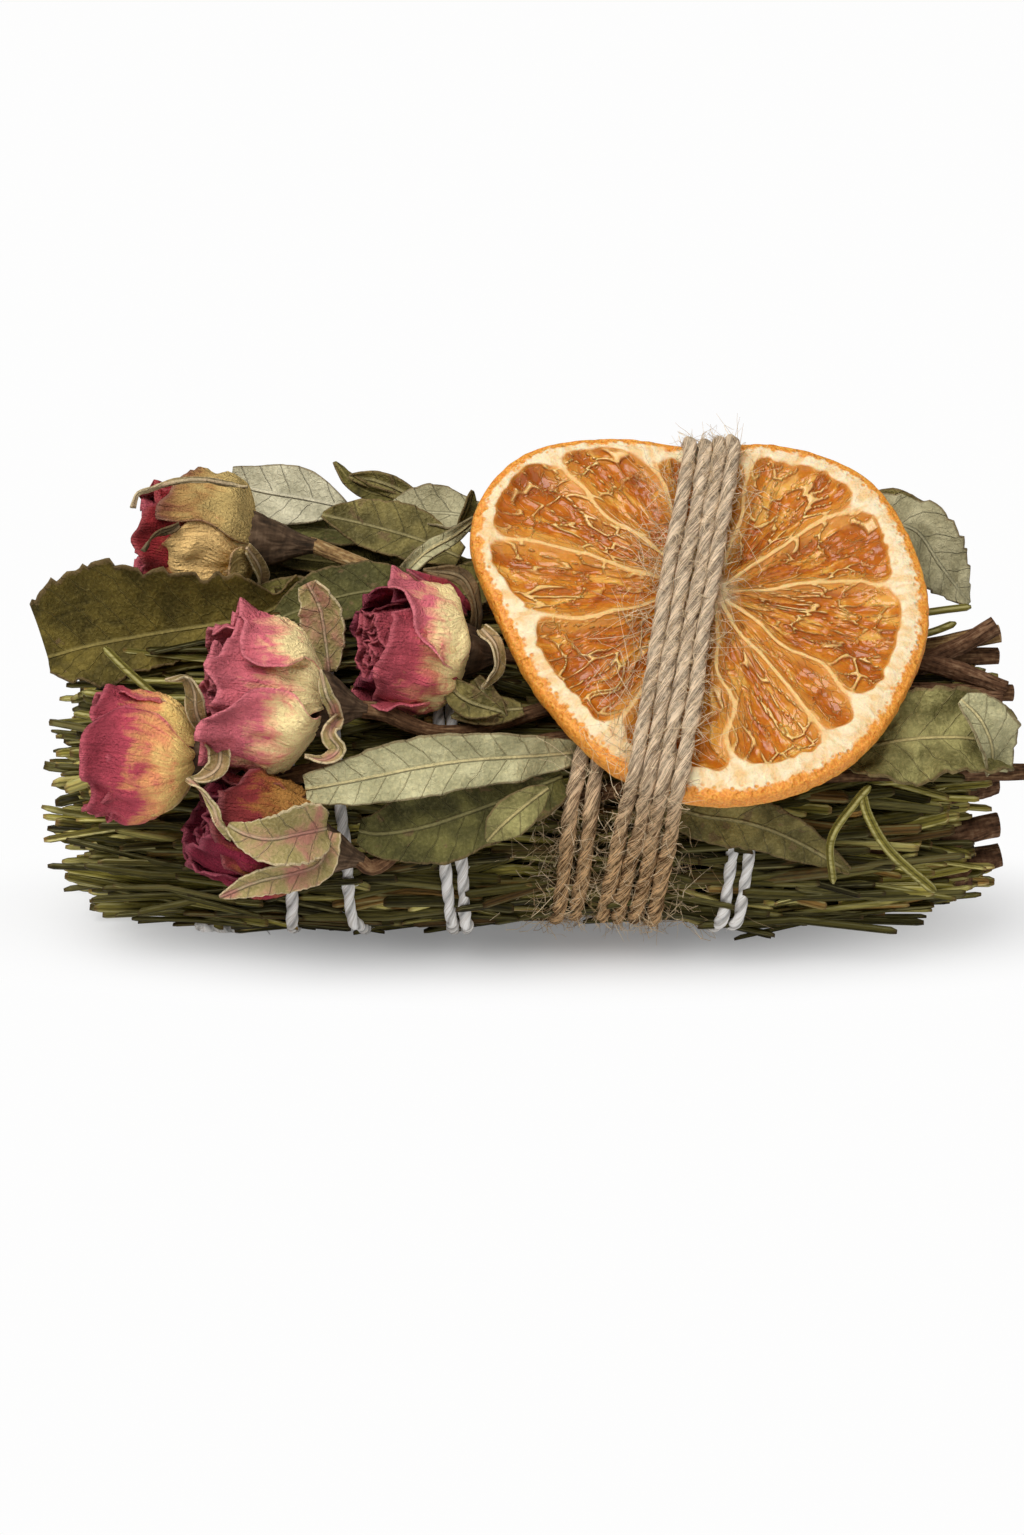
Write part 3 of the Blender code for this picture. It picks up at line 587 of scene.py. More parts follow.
@dataclass(frozen=True)
class Sweep:
    """A round piece along a path: a cord, a stem or a hair."""

    path: Array
    around: int

    def frames(self) -> tuple[Array, Array, Array]:
        """The path's direction, and two directions across it that turn as little as can be."""
        along = unit(np.gradient(self.path, axis=0))
        side = np.zeros_like(along)
        start = np.array((0.0, 0.0, 1.0)) if abs(along[0, 2]) < 0.9 else np.array((1.0, 0.0, 0.0))
        side[0] = unit(np.cross(along[0], start))
        for i in range(1, len(along)):
            side[i] = unit(side[i - 1] - along[i] * np.dot(side[i - 1], along[i]))
        return along, side, np.cross(along, side)

    def angles(self) -> Array:
        """The angle of each point round a ring."""
        return ring_angles(self.around)

    def rings(self, radius: Array) -> Array:
        """Rings of points round the path.

        Args:
            radius: The radius, for each point of the path and each angle.

        Returns:
            The rings, as rows of points.
        """
        _, side, top = self.frames()
        angle = self.angles()
        outward = side[:, None] * np.cos(angle)[:, None] + top[:, None] * np.sin(angle)[:, None]
        return self.path[:, None] + outward * np.broadcast_to(radius, outward.shape[:2])[..., None]

    def grain(self, pitch: float | None = None) -> Array:
        """The pattern's coordinates: round the piece on a unit circle, and along it in
        millimetres. With a pitch, the pattern turns round the piece once in that length."""
        reached = distances(self.path)[:, None]
        angle = self.angles()[None] - (TAU * reached / pitch if pitch else 0.0)
        return stacked(np.cos(angle), np.sin(angle), reached)


# ---- node trees


class Nodes:
    """A node tree that is built in code."""

    def __init__(self, tree: NodeTree) -> None:
        """Starts from a tree, whose own nodes stay."""
        self.tree = tree

    def connect(self, socket: NodeSocket, value: Any) -> None:
        """Sets a socket to a value, or links it where the value is another socket.

        Args:
            socket: The input to set.
            value: A `Socket`, a number, a colour, a vector, or a data block.
        """
        if isinstance(value, Socket):
            self.tree.links.new(value.socket, socket)
        elif socket.type == "RGBA" and len(value) == 3:
            socket.default_value = (*value, 1.0)
        else:
            socket.default_value = value

    def node(
        self, kind: str, settings: dict[str, Any] | None = None, values: dict[Any, Any] | None = None
    ) -> Node:
        """Adds a node.

        Args:
            kind: The node's type.
            settings: Its properties, and the stops of a colour ramp as "stops".
            values: The values or links of its inputs, by name or index.

        Returns:
            The node.
        """
        made = self.tree.nodes.new(kind)
        for key, value in (settings or {}).items():
            if key == "stops":
                self.set_stops(made.color_ramp, value)
            else:
                setattr(made, key, value)
        for key, value in (values or {}).items():
            self.connect(made.inputs[key], value)
        return made

    @staticmethod
    def set_stops(ramp: ColorRamp, stops: Sequence[tuple[float, Colour]]) -> None:
        """Gives a colour ramp its stops."""
        while len(ramp.elements) < len(stops):
            ramp.elements.new(1.0)
        for element, (position, colour) in zip(ramp.elements, stops):
            element.position = position
            element.color = (*colour, 1.0)

    def out(self, node: Node, key: Any = 0) -> "Socket":
        """A node's output as a value for arithmetic."""
        return Socket(self, node.outputs[key])

    def math(self, operation: str, *values: Any) -> "Socket":
        """One Math node on up to three values."""
        return self.out(self.node("ShaderNodeMath", {"operation": operation}, dict(enumerate(values))))

    def vector_math(self, operation: str, *values: Any) -> "Socket":
        """One Vector Math node on up to three vectors."""
        made = self.node("ShaderNodeVectorMath", {"operation": operation}, dict(enumerate(values)))
        return self.out(made)

    def times(self, vector: Any, amount: Any) -> "Socket":
        """A vector or a colour times a number."""
        return self.out(
            self.node("ShaderNodeVectorMath", {"operation": "SCALE"}, {0: vector, "Scale": amount})
        )

    def combine(self, x: Any, y: Any, z: Any) -> "Socket":
        """A vector from three numbers."""
        return self.out(self.node("ShaderNodeCombineXYZ", None, {"X": x, "Y": y, "Z": z}))

    def separate(self, vector: "Socket") -> tuple["Socket", "Socket", "Socket"]:
        """A vector's three numbers."""
        made = self.node("ShaderNodeSeparateXYZ", None, {0: vector})
        return self.out(made, "X"), self.out(made, "Y"), self.out(made, "Z")


@dataclass(frozen=True)
class Socket:
    """A node's output that takes part in Python arithmetic as a number."""

    owner: Nodes
    socket: NodeSocket

    def __add__(self, other: Any) -> "Socket":
        """This plus other."""
        return self.owner.math("ADD", self, other)

    def __radd__(self, other: Any) -> "Socket":
        """Other plus this."""
        return self.owner.math("ADD", other, self)

    def __sub__(self, other: Any) -> "Socket":
        """This less other."""
        return self.owner.math("SUBTRACT", self, other)

    def __rsub__(self, other: Any) -> "Socket":
        """Other less this."""
        return self.owner.math("SUBTRACT", other, self)

    def __mul__(self, other: Any) -> "Socket":
        """This times other."""
        return self.owner.math("MULTIPLY", self, other)

    def __rmul__(self, other: Any) -> "Socket":
        """Other times this."""
        return self.owner.math("MULTIPLY", other, self)

    def __pow__(self, other: Any) -> "Socket":
        """This to the power of other."""
        return self.owner.math("POWER", self, other)

    def __abs__(self) -> "Socket":
        """This without its sign."""
        return self.owner.math("ABSOLUTE", self)

    def step(self, low: float, high: float) -> "Socket":
        """A smooth step from 0 at low to 1 at high, which may be below low."""
        values = {"Value": self, "From Min": low, "From Max": high}
        settings = {"interpolation_type": "SMOOTHSTEP"}
        return self.owner.out(self.owner.node("ShaderNodeMapRange", settings, values))


class Skin(Nodes):
    """A material built from shader nodes."""

    def __init__(self, name: str, roughness: float, **uniform: Any) -> None:
        """Starts a Principled material.

        Args:
            name: The material's name.
            roughness: Its roughness, where nothing varies it.
            uniform: Other sockets of the shader that are the same all over, by name with
                underscores for spaces.
        """
        self.material = bpy.data.materials.new(name)
        self.material.use_nodes = True
        super().__init__(self.material.node_tree)
        self.shader = self.tree.nodes["Principled BSDF"]
        self.set("Roughness", roughness)
        for key, value in uniform.items():
            self.set(key.replace("_", " "), value)

    def set(self, name: str, value: Any) -> None:
        """Sets or links one of the shader's sockets."""
        self.connect(self.shader.inputs[name], value)

    def place(self, x: float, y: float | None = None) -> Socket:
        """The place on the piece, in metres times x along it and times y, or else x, across."""
        across = x if y is None else y
        return self.scaled(self.out(self.node("ShaderNodeTexCoord"), "Object"), x, across, across)

    def attribute(self, name: str, output: str = "Fac") -> Socket:
        """A named attribute of the piece."""
        return self.out(self.node("ShaderNodeAttribute", {"attribute_name": name}), output)

    def scaled(self, vector: Socket, x: float, y: float, z: float) -> Socket:
        """A vector stretched along each axis."""
        return self.vector_math("MULTIPLY", vector, (x, y, z))

    def noise(self, vector: Socket, scale: float = 1.0, detail: float = 3.0, warp: float = 0.0) -> Socket:
        """Noise between about 0 and 1."""
        values = {"Vector": vector, "Scale": scale, "Detail": detail, "Distortion": warp}
        return self.out(self.node("ShaderNodeTexNoise", None, values))

    def cells(self, vector: Socket, scale: float, edges: bool) -> Socket:
        """Cells: the distance to their edges, or else to their middles."""
        settings = {"feature": "DISTANCE_TO_EDGE" if edges else "F1"}
        values = {"Vector": vector, "Scale": scale}
        return self.out(self.node("ShaderNodeTexVoronoi", settings, values), "Distance")

    def ramp(self, value: Any, stops: Sequence[tuple[float, Colour]]) -> Socket:
        """A colour for each value."""
        return self.out(self.node("ShaderNodeValToRGB", {"stops": stops}, {0: value}))

    def mix(self, factor: Any, a: Any, b: Any) -> Socket:
        """Two colours mixed."""
        settings = {"data_type": "RGBA", "clamp_factor": True}
        return self.out(self.node("ShaderNodeMix", settings, {0: factor, 6: a, 7: b}), 2)

    def bump(self, height: Any, distance: float) -> None:
        """Raises the surface by height, in units of distance millimetres."""
        values = {"Height": height, "Distance": distance * MM, "Strength": 1.0}
        self.set("Normal", self.out(self.node("ShaderNodeBump", None, values), "Normal"))


class Growth(Nodes):
    """A Geometry Nodes tree, with named inputs, that ends in real meshes."""

    def __init__(self, name: str) -> None:
        """Starts a tree that takes and gives geometry."""
        super().__init__(bpy.data.node_groups.new(name, "GeometryNodeTree"))
        self.tree.is_modifier = True
        for way in ("INPUT", "OUTPUT"):
            self.tree.interface.new_socket("Geometry", in_out=way, socket_type="NodeSocketGeometry")
        self.identifiers: dict[str, str] = {}

    def inputs(self, **kinds: str) -> dict[str, Socket]:
        """Args:
            kinds: The type of each input, such as "Float", by name.

        Returns:
            Each input's socket inside the tree, with "geometry" among them.
        """
        for name, kind in kinds.items():
            made = self.tree.interface.new_socket(name, in_out="INPUT", socket_type=f"NodeSocket{kind}")
            self.identifiers[name] = made.identifier
        group_in = self.node("NodeGroupInput")
        found = {name: self.out(group_in, name) for name in kinds}
        return {"geometry": self.out(group_in), **found}

    def random(self, low: Any, high: Any, seed: Any) -> Socket:
        """A random number, or vector where low and high are vectors, for each element."""
        vector = isinstance(low, tuple)
        first = 0 if vector else 2
        values = {first: low, first + 1: high, "Seed": seed}
        settings = {"data_type": "FLOAT_VECTOR" if vector else "FLOAT"}
        return self.out(self.node("FunctionNodeRandomValue", settings, values), 0 if vector else 1)

    def named(self, name: str, vector: bool = False) -> Socket:
        """A named attribute."""
        settings = {"data_type": "FLOAT_VECTOR" if vector else "FLOAT"}
        return self.out(self.node("GeometryNodeInputNamedAttribute", settings, {"Name": name}))

    def store(self, geometry: Socket, name: str, value: Socket, vector: bool = False) -> Socket:
        """Keeps a value on each instance as a named attribute."""
        settings = {"data_type": "FLOAT_VECTOR" if vector else "FLOAT", "domain": "INSTANCE"}
        values = {"Geometry": geometry, "Name": name, "Value": value}
        return self.out(self.node("GeometryNodeStoreNamedAttribute", settings, values))

    def scatter(self, given: dict[str, Socket]) -> Node:
        """Points strewn over the host's faces."""
        values = {"Mesh": given["geometry"], "Density": given["Density"], "Seed": given["Seed"]}
        return self.node("GeometryNodeDistributePointsOnFaces", {"distribute_method": "RANDOM"}, values)

    def turned(self, rotation: Socket, euler: Socket) -> Socket:
        """A rotation turned further about its own axes."""
        turn = self.out(self.node("FunctionNodeEulerToRotation", None, {"Euler": euler}))
        values = {"Rotation": rotation, "Rotate By": turn}
        return self.out(self.node("FunctionNodeRotateRotation", {"rotation_space": "LOCAL"}, values))

    def copies(self, points: Socket, shape: Socket, rotation: Socket, scale: Socket) -> Socket:
        """Copies of a template object on points."""
        form = self.out(self.node("GeometryNodeObjectInfo", None, {"Object": shape}), "Geometry")
        values = {"Points": points, "Instance": form, "Rotation": rotation, "Scale": scale}
        return self.out(self.node("GeometryNodeInstanceOnPoints", None, values))

    def moved(self, geometry: Socket, offset: Socket) -> Socket:
        """Geometry with its points moved."""
        return self.out(
            self.node("GeometryNodeSetPosition", None, {"Geometry": geometry, "Offset": offset})
        )

    def bent(self, copies: Socket, reach: Point, seed: Socket, share: Socket) -> Socket:
        """The copies as real meshes, each bent its own way.

        Args:
            copies: The copies.
            reach: How far they bend along each axis, at most.
            seed: Picks the bends.
            share: How much of the bend a point takes.

        Returns:
            The meshes.
        """
        bend = self.random(tuple(-size for size in reach), reach, seed)
        kept = self.store(copies, "bend", bend, vector=True)
        real = self.out(self.node("GeometryNodeRealizeInstances", None, {"Geometry": kept}))
        return self.moved(real, self.times(self.named("bend", vector=True), share))

    def finish(self, geometry: Socket, material: Socket) -> None:
        """Ends the tree: what it makes gets the material and becomes its output."""
        dressed = self.node("GeometryNodeSetMaterial", None, {"Geometry": geometry, "Material": material})
        self.node("NodeGroupOutput", None, {0: self.out(dressed)})

    def grow(self, name: str, host: Object, **values: Any) -> Object:
        """Runs the tree on a host object, which is used up.

        Args:
            name: The name of the piece that it makes.
            host: The object whose mesh the tree starts from.
            values: The tree's inputs, by name.

        Returns:
            The piece, as a plain mesh.
        """
        modifier = host.modifiers.new(name, "NODES")
        modifier.node_group = self.tree
        for key, value in values.items():
            modifier[self.identifiers[key]] = value
        host.name = name
        return Mesh.finished(host)


class NeedleGrowth(Growth):
    """Needles strewn over a bed, lying along the bundle."""

    depths: Pair = (-1.0, 0.15)
    leans: Point = (0.8, 0.1, 0.21)
    lengths: Pair = (0.72, 1.25)
    breadths: Pair = (0.8, 1.2)
    bend: float = 1.7

    def __init__(self) -> None:
        """Builds the tree."""
        super().__init__("needle_growth")
        given = self.inputs(
            Needle="Object", Density="Float", Depth="Float", Spread="Float", Reversed="Float", Seed="Int",
            Material="Material"
        )
        seed, scatter = given["Seed"], self.scatter(given)
        sink = self.random(*self.depths, seed + 1)
        inward = self.times(self.out(scatter, "Normal"), sink * given["Depth"])
        sunk = self.moved(self.out(scatter, "Points"), inward)
        facing = self.node(
            "FunctionNodeAlignRotationToVector", {"axis": "X", "pivot_axis": "Z"},
            {"Rotation": self.out(scatter, "Rotation"), "Vector": (-1.0, 0.0, 0.0)}
        )
        lean = [self.random(-size, size, seed + 2 + k) for k, size in enumerate(self.leans)]
        flip = self.math("GREATER_THAN", given["Reversed"], self.random(0.0, 1.0, seed + 5)) * math.pi
        spread = given["Spread"]
        euler = self.combine(lean[0], lean[1] * spread, lean[2] * spread + flip)
        breadth = self.random(*self.breadths, seed + 6)
        size = self.combine(self.random(*self.lengths, seed + 7), breadth, breadth)
        grown = self.copies(sunk, given["Needle"], self.turned(self.out(facing), euler), size)
        kept = self.store(grown, "tint", self.random(0.0, 1.0, seed + 8))
        # How deep each needle sits, which the finish turns into painted shade.
        kept = self.store(kept, "buried", sink * -1.0)
        reach, along = self.bend * MM, self.named("along")
        bent = self.bent(kept, (reach * 0.2, reach, reach), seed + 9, along * along)
        self.finish(bent, given["Material"])

    @staticmethod
    def needle() -> Object:
        """One needle along X: two rounded halves with a groove between them, and blunt ends."""
        length, half_width = 23.0, 0.86
        section = np.array([(1.0, 0.0), (0.52, 0.5), (0.0, 0.22), (-0.52, 0.5), (-1.0, 0.0), (0.0, -0.5)])
        rows = np.array([(0.0, 0.55), (0.03, 0.9), (0.5, 1.0), (0.965, 0.9), (1.0, 0.55)])
        share, width = rows[:, :1], rows[:, 1:] * half_width
        points = stacked((share - 0.5) * length, section[:, 0] * width, section[:, 1] * width)
        along, lateral = np.broadcast_arrays(2 * share - 1, section[:, 0])
        return template("needle", points, along=along, lateral=lateral)


class FuzzGrowth(Growth):
    """Loose fibres standing off a cord or lying on what is round it."""

    tilts: Pair = (0.75, 1.0)
    lengths: Pair = (0.3, 1.0)

    def __init__(self) -> None:
        """Builds the tree."""
        super().__init__("fuzz_growth")
        given = self.inputs(
            Fibre="Object", Density="Float", Tilt="Float", Size="Float", Curl="Float", Seed="Int",
            Material="Material"
        )
        seed, scatter = given["Seed"], self.scatter(given)
        tilt = self.random(*self.tilts, seed + 1) * given["Tilt"]
        euler = self.combine(tilt, 0.0, self.random(0.0, TAU, seed + 2))
        turned = self.turned(self.out(scatter, "Rotation"), euler)
        size = self.combine(1.0, 1.0, self.random(*self.lengths, seed + 3) * given["Size"])
        grown = self.copies(self.out(scatter, "Points"), given["Fibre"], turned, size)
        kept = self.store(grown, "tint", self.random(0.0, 1.0, seed + 4))
        sway = self.math("SINE", self.named("along") * math.pi * 1.5) * given["Curl"]
        self.finish(self.bent(kept, (MM, MM, MM), seed + 5, sway), given["Material"])

    @staticmethod
    def fibre() -> Object:
        """One fibre a millimetre long, along Z."""
        rings, around, thickness = 6, 3, 0.055
        share = np.arange(rings)[:, None] / (rings - 1)
        angle = ring_angles(around)
        radius = thickness * (1.0 - 0.6 * share)
        points = stacked(np.cos(angle) * radius, np.sin(angle) * radius, share)
        return template("fibre", points, along=np.broadcast_to(share, radius.shape[:1] + angle.shape))


def template(name: str, points: Array, **attributes: Array) -> Object:
    """A small closed shape about the frame's origin, for a tree to repeat.

    Args:
        name: Its name.
        points: Its rings, in millimetres about the origin.
        attributes: Numbers at each point, by name.

    Returns:
        The object, which its user removes.
    """
    return Mesh.solid(name, points - np.array(LAYOUT.shift) / MM, **attributes)


# ---- finishes


class Finish:
    """A material that is made once, by its name."""

    name: str

    def material(self) -> Material:
        """Builds the material."""
        raise NotImplementedError

    def material_once(self) -> Material:
        """The material, built the first time it is asked for."""
        return bpy.data.materials.get(self.name) or self.material()


@dataclass(frozen=True)
class NeedleFinish(Finish):
    """Dry rosemary needles: olive green, some greyer, yellower or brown, with painted shade on deeper
    needles and in their grooves, and painted highlight on their ridges.
    """

    name: str = "rosemary_needles"
    stops: tuple[tuple[float, Colour], ...] = (
        (0.0, (0.055, 0.043, 0.008)), (0.3, (0.125, 0.105, 0.018)), (0.6, (0.22, 0.185, 0.038)),
        (0.82, (0.38, 0.33, 0.1)), (0.93, (0.22, 0.12, 0.03))
    )
    # Painted highlight on the needles' rounded ridges.
    margin: Colour = (0.42, 0.38, 0.16)
    end: Colour = (0.13, 0.07, 0.025)

    def material(self) -> Material:
        """Builds the material."""
        skin = Skin(self.name, 0.42, Specular_IOR_Level=0.1)
        lateral = abs(skin.attribute("lateral"))
        place = skin.place(0.3 * PER_METRE, 2.4 * PER_METRE)
        streaks = skin.noise(place, 1.0, 3.0)
        groove = 1 - lateral.step(0.0, 0.3)
        ridge = 1 - abs(lateral - 0.76).step(0.04, 0.2)
        colour = skin.ramp(skin.attribute("tint") + (streaks - 0.5) * 0.25, self.stops)
        # Painted highlight along the ridges either side of the groove.
        colour = skin.mix(ridge * streaks.step(0.25, 0.5) * 0.7, colour, self.margin)
        # Painted shade: the groove down each needle's middle is darker.
        colour = skin.times(colour, 0.95 - groove * 0.5 + (streaks - 0.5) * 0.9)
        colour = skin.mix(abs(skin.attribute("along")).step(0.93, 1.0) * 0.7, colour, self.end)
        # Painted shade: needles set deeper are darker, and those on top lighter.
        skin.set("Base Color", skin.times(colour, 2.15 - skin.attribute("buried").step(0.0, 0.82) * 1.75))
        skin.bump(streaks - groove * 0.5, 0.2)
        return skin.material


@dataclass(frozen=True)
class BarkFinish(Finish):
    """Bark with ridges along the stem, and a paler cut end."""

    name: str
    dark: Colour = (0.035, 0.017, 0.009)
    middle: Colour = (0.135, 0.066, 0.034)
    light: Colour = (0.3, 0.18, 0.1)
    cut: Colour = (0.44, 0.26, 0.12)

    def material(self) -> Material:
        """Builds the material."""
        skin = Skin(self.name, 0.8, Specular_IOR_Level=0.08)
        grain = skin.attribute("grain", "Vector")
        ridges = skin.noise(skin.scaled(grain, 3.2, 3.2, 0.35), 1.0, 4.0, 0.4)
        flakes = skin.noise(skin.scaled(grain, 1.2, 1.2, 1.3), 1.0, 3.0)
        bark = skin.ramp(
            ridges * 0.7 + flakes * 0.3, ((0.36, self.dark), (0.52, self.middle), (0.68, self.light))
        )
        rings = skin.noise(skin.place(1.5 * PER_METRE), 1.0, 2.0)
        cut = skin.times(self.cut, rings * 1.2 + 0.4)
        skin.set("Base Color", skin.mix(skin.attribute("cut"), bark, cut))
        skin.bump(ridges * 0.7 + flakes * 0.5, 0.5)
        return skin.material


@dataclass(frozen=True)
class LeafFinish(Finish):
    """A dried leaf: mottled, with a midrib, side veins, brown edges and brown patches."""

    name: str
    body: Colour
    deep: Colour
    vein: Colour
    brown: Colour = (0.17, 0.11, 0.05)
    patches: float = 0.62
    vein_spacing: float = 3.4
    flush: float = 0.0
    flush_colour: Colour = (0.42, 0.14, 0.13)

    def material(self) -> Material:
        """Builds the material."""
        skin = Skin(self.name, 0.62, Specular_IOR_Level=0.14)
        leaf = skin.attribute("leaf", "Vector")
        along, across, edge = skin.separate(leaf)
        coords = skin.place(PER_METRE)
        broad = skin.noise(coords, 0.22, 3.0, 0.6)
        fine = skin.noise(coords, 2.2, 4.0)
        warp = (broad - 0.5) * 1.6
        beat = skin.math("FRACT", (along - abs(across) * 0.75 + warp) * (1 / self.vein_spacing))
        side = 1 - abs(beat - 0.5).step(0.0, 0.04)
        midrib = 1 - abs(across).step(0.12, 0.42)
        net = 1 - skin.cells(coords, 0.85, edges=True).step(0.0, 0.06)
        veins = skin.math("MAXIMUM", midrib, side * 0.55)
        colour = skin.mix((broad - 0.36) * 3.2, self.deep, self.body)
        colour = skin.mix(fine.step(0.45, 0.75) * 0.2, colour, self.vein)
        colour = skin.mix(net * 0.1, colour, self.vein)
        colour = skin.mix(veins * 0.75, colour, self.vein)
        spots = skin.noise(coords, 0.45, 4.0, 0.3)
        brown = spots.step(self.patches, self.patches + 0.07) * 0.75
        rim = (edge + (fine - 0.5) * 0.12).step(0.915, 0.97)
        if self.flush:
            red = (broad + (1 - edge) * 0.15 + fine * 0.2).step(0.54, 0.84) * self.flush
            colour = skin.mix(red, colour, self.flush_colour)
        colour = skin.mix(skin.math("MAXIMUM", brown, rim * 0.7), colour, self.brown)
        skin.set("Base Color", skin.times(colour, 0.3 + fine * 0.7 + broad * 0.72))
        skin.bump(veins * 0.9 + net * 0.1 + fine * 0.55 + broad * 1.8, 0.5)
        return skin.material


@dataclass(frozen=True)
class PetalFinish(Finish):
    """A dried rose petal: pale at its foot, flushed towards its tip and edges."""

    name: str
    foot: Colour
    middle: Colour
    tip: Colour
    turn: float = 0.5
    blend_width: float = 0.16
    streaks: float = 0.5

    def material(self) -> Material:
        """Builds the material."""
        skin = Skin(self.name, 0.75, Specular_IOR_Level=0.15)
        along, across, edge = skin.separate(skin.attribute("petal", "Vector"))
        coords = skin.place(PER_METRE)
        broad = skin.noise(coords, 0.26, 3.0, 0.5)
        fibres = skin.noise(skin.combine(across * 20.0, along * 2.2, broad * 2.5), 1.0, 5.0, 0.5)
        fine = skin.noise(coords, 2.4, 4.0)
        place = along + (broad - 0.5) * 0.95 + (fibres - 0.5) * self.streaks * 0.9
        place = place + edge.step(0.75, 1.0) * 0.12
        low, high = self.turn - self.blend_width, self.turn + self.blend_width
        dark = tuple(channel * 0.55 for channel in self.tip)
        colour = skin.ramp(
            place,
            ((low, self.foot), (self.turn, self.middle), (high, self.tip), (min(1.0, high + 0.5), dark))
        )
        edge_light = tuple(min(1.0, channel * 1.3 + 0.08) for channel in self.tip)
        colour = skin.mix(edge.step(0.93, 1.0) * 0.5, colour, edge_light)
        skin.set("Base Color", skin.times(colour, 0.26 + fibres * 0.8 + fine * 0.5 + broad * 0.6))
        skin.bump(fibres + fine * 0.9, 0.85)
        return skin.material


@dataclass(frozen=True)
class OrangeFinish(Finish):
    """A dried slice: porous rind, cream pith, pale membranes and amber pulp in long cells, whose pale walls
    also carry painted highlight.
    """

    name: str = "orange_flesh"
    rind: tuple[Colour, Colour] = ((0.76, 0.24, 0.018), (0.9, 0.4, 0.06))
    pith: tuple[Colour, Colour] = ((0.84, 0.55, 0.24), (0.93, 0.77, 0.5))
    pore: Colour = (0.86, 0.34, 0.04)
    membrane: Colour = (0.7, 0.295, 0.045)
    # The sac walls' pale colour: partly their own, partly painted highlight.
    ridge: Colour = (0.92, 0.58, 0.21)
    pulp: tuple[tuple[float, Colour], ...] = (
        (0.28, (0.38, 0.085, 0.004)), (0.4, (0.48, 0.12, 0.006)), (0.5, (0.55, 0.15, 0.008)),
        (0.6, (0.65, 0.23, 0.018)), (0.72, (0.82, 0.41, 0.08))
    )

    def material(self) -> Material:
        """Builds the material."""
        skin = Skin(self.name, 0.5, Subsurface_Weight=0.3, Subsurface_Scale=0.003, Specular_IOR_Level=0.46)
        grain = skin.attribute("grain", "Vector")
        depth, wall, sunk = skin.separate(skin.attribute("zone", "Vector"))
        coords = skin.place(PER_METRE)
        drift = skin.node("ShaderNodeTexNoise", None, {"Vector": coords, "Scale": 0.35, "Detail": 2.0})
        drift = skin.vector_math("SUBTRACT", skin.out(drift, "Color"), (0.5, 0.5, 0.5))
        cell_place = skin.vector_math("ADD", skin.scaled(grain, 15, 15, 0.16), skin.times(drift, 1.2))
        small = skin.cells(cell_place, 1.6, edges=True)
        walls = skin.attribute("sacs").step(0.25, 0.75)
        patchy = skin.noise(coords, 0.3, 2.0).step(0.4, 0.6)
        ridges = skin.math("MAXIMUM", walls, (1 - small.step(0.0, 0.07)) * 0.4 * patchy)
        tone = skin.noise(skin.scaled(grain, 7, 7, 0.15), 1.0, 2.5, 1.2) + skin.attribute("tone") * 0.2
        fine = skin.noise(coords, 2.6, 4.0)
        flesh = skin.ramp(tone + (fine - 0.5) * 0.12, self.pulp)
        golden = skin.math("MAXIMUM", wall.step(0.08, 0.7), 1 - sunk.step(0.2, 0.5))
        flesh = skin.mix(golden * 0.8, flesh, self.membrane)
        # The sac walls' own paler colour, brightened further as painted highlight.
        flesh = skin.mix(ridges * 0.82, flesh, self.ridge)
        heart = skin.separate(grain)[2].step(4.5, 1.5)
        soft = skin.noise(skin.scaled(grain, 16, 16, 0.35), 1.0, 4.0, 0.6)
        pith = skin.mix(soft.step(0.3, 0.65), *self.pith)
        flesh = skin.mix(heart, flesh, pith)
        ragged = skin.noise(coords, 0.8, 3.0)
        edge = depth + (soft - 0.5) * 0.9 + (ragged - 0.5) * 2.6
        pores = (1 - skin.cells(coords, 0.95, edges=False).step(0.15, 0.4)) * depth.step(2.0, 1.2)
        rind = skin.mix(pores * 0.6, skin.mix(fine.step(0.3, 0.7), *self.rind), self.pore)
        colour = skin.mix(sunk.step(0.02, 0.2), pith, flesh)
        outside = skin.math("MAXIMUM", edge.step(1.35, 0.75), pores * depth.step(2.4, 1.4))
        colour = skin.mix(outside, colour, rind)
        skin.set("Base Color", skin.times(colour, 0.82 + fine * 0.36))
        inside = sunk.step(0.1, 0.4)
        skin.set("Roughness", 0.6 - inside * 0.4 - edge.step(1.35, 0.6) * 0.12)
        rough = (1 - inside) * (fine * 0.3 + soft * 0.7 - pores * 0.3)
        skin.bump(ridges * inside * 0.9 + tone * inside * 0.7 + rough, 0.6)
        return skin.material


@dataclass(frozen=True)
class FibreFinish(Finish):
    """Twisted fibres: light and dark ones laid along the twist, with painted shade in the grooves between
    the plies, and, where given, a darker light tone lower down as painted shade.
    """

    name: str
    dark: Colour
    light: Colour
    fineness: float
    relief: float
    shaded_light: Colour | None = None

    def material(self) -> Material:
        """Builds the material."""
        skin = Skin(self.name, 0.9, Specular_IOR_Level=0.1)
        grain = skin.attribute("grain", "Vector")
        fibres = skin.scaled(grain, self.fineness, self.fineness, self.fineness * 0.07)
        strands = skin.noise(fibres, 1.0, 5.0, 0.5)
        blotches = skin.noise(skin.scaled(grain, 0.6, 0.6, 0.16), 1.0, 2.0)
        tone = (strands * 0.8 + blotches * 0.2).step(0.4, 0.56)
        sunk = skin.attribute("sunk")
        light = self.light
        if self.shaded_light:
            # Painted shade: the light fibres are darker lower down and lighter on top.
            height = skin.separate(skin.place(1.0))[2].step(0.018, 0.044)
            light = skin.mix(height, self.shaded_light, self.light)
            tone = tone * (1 - height * 0.35) + height * 0.35
        colour = skin.mix(tone, self.dark, light)
        # Painted shade in the grooves between the plies.
        skin.set("Base Color", skin.times(colour, 1 - sunk * 0.7))
        skin.bump(strands, self.relief)
        return skin.material


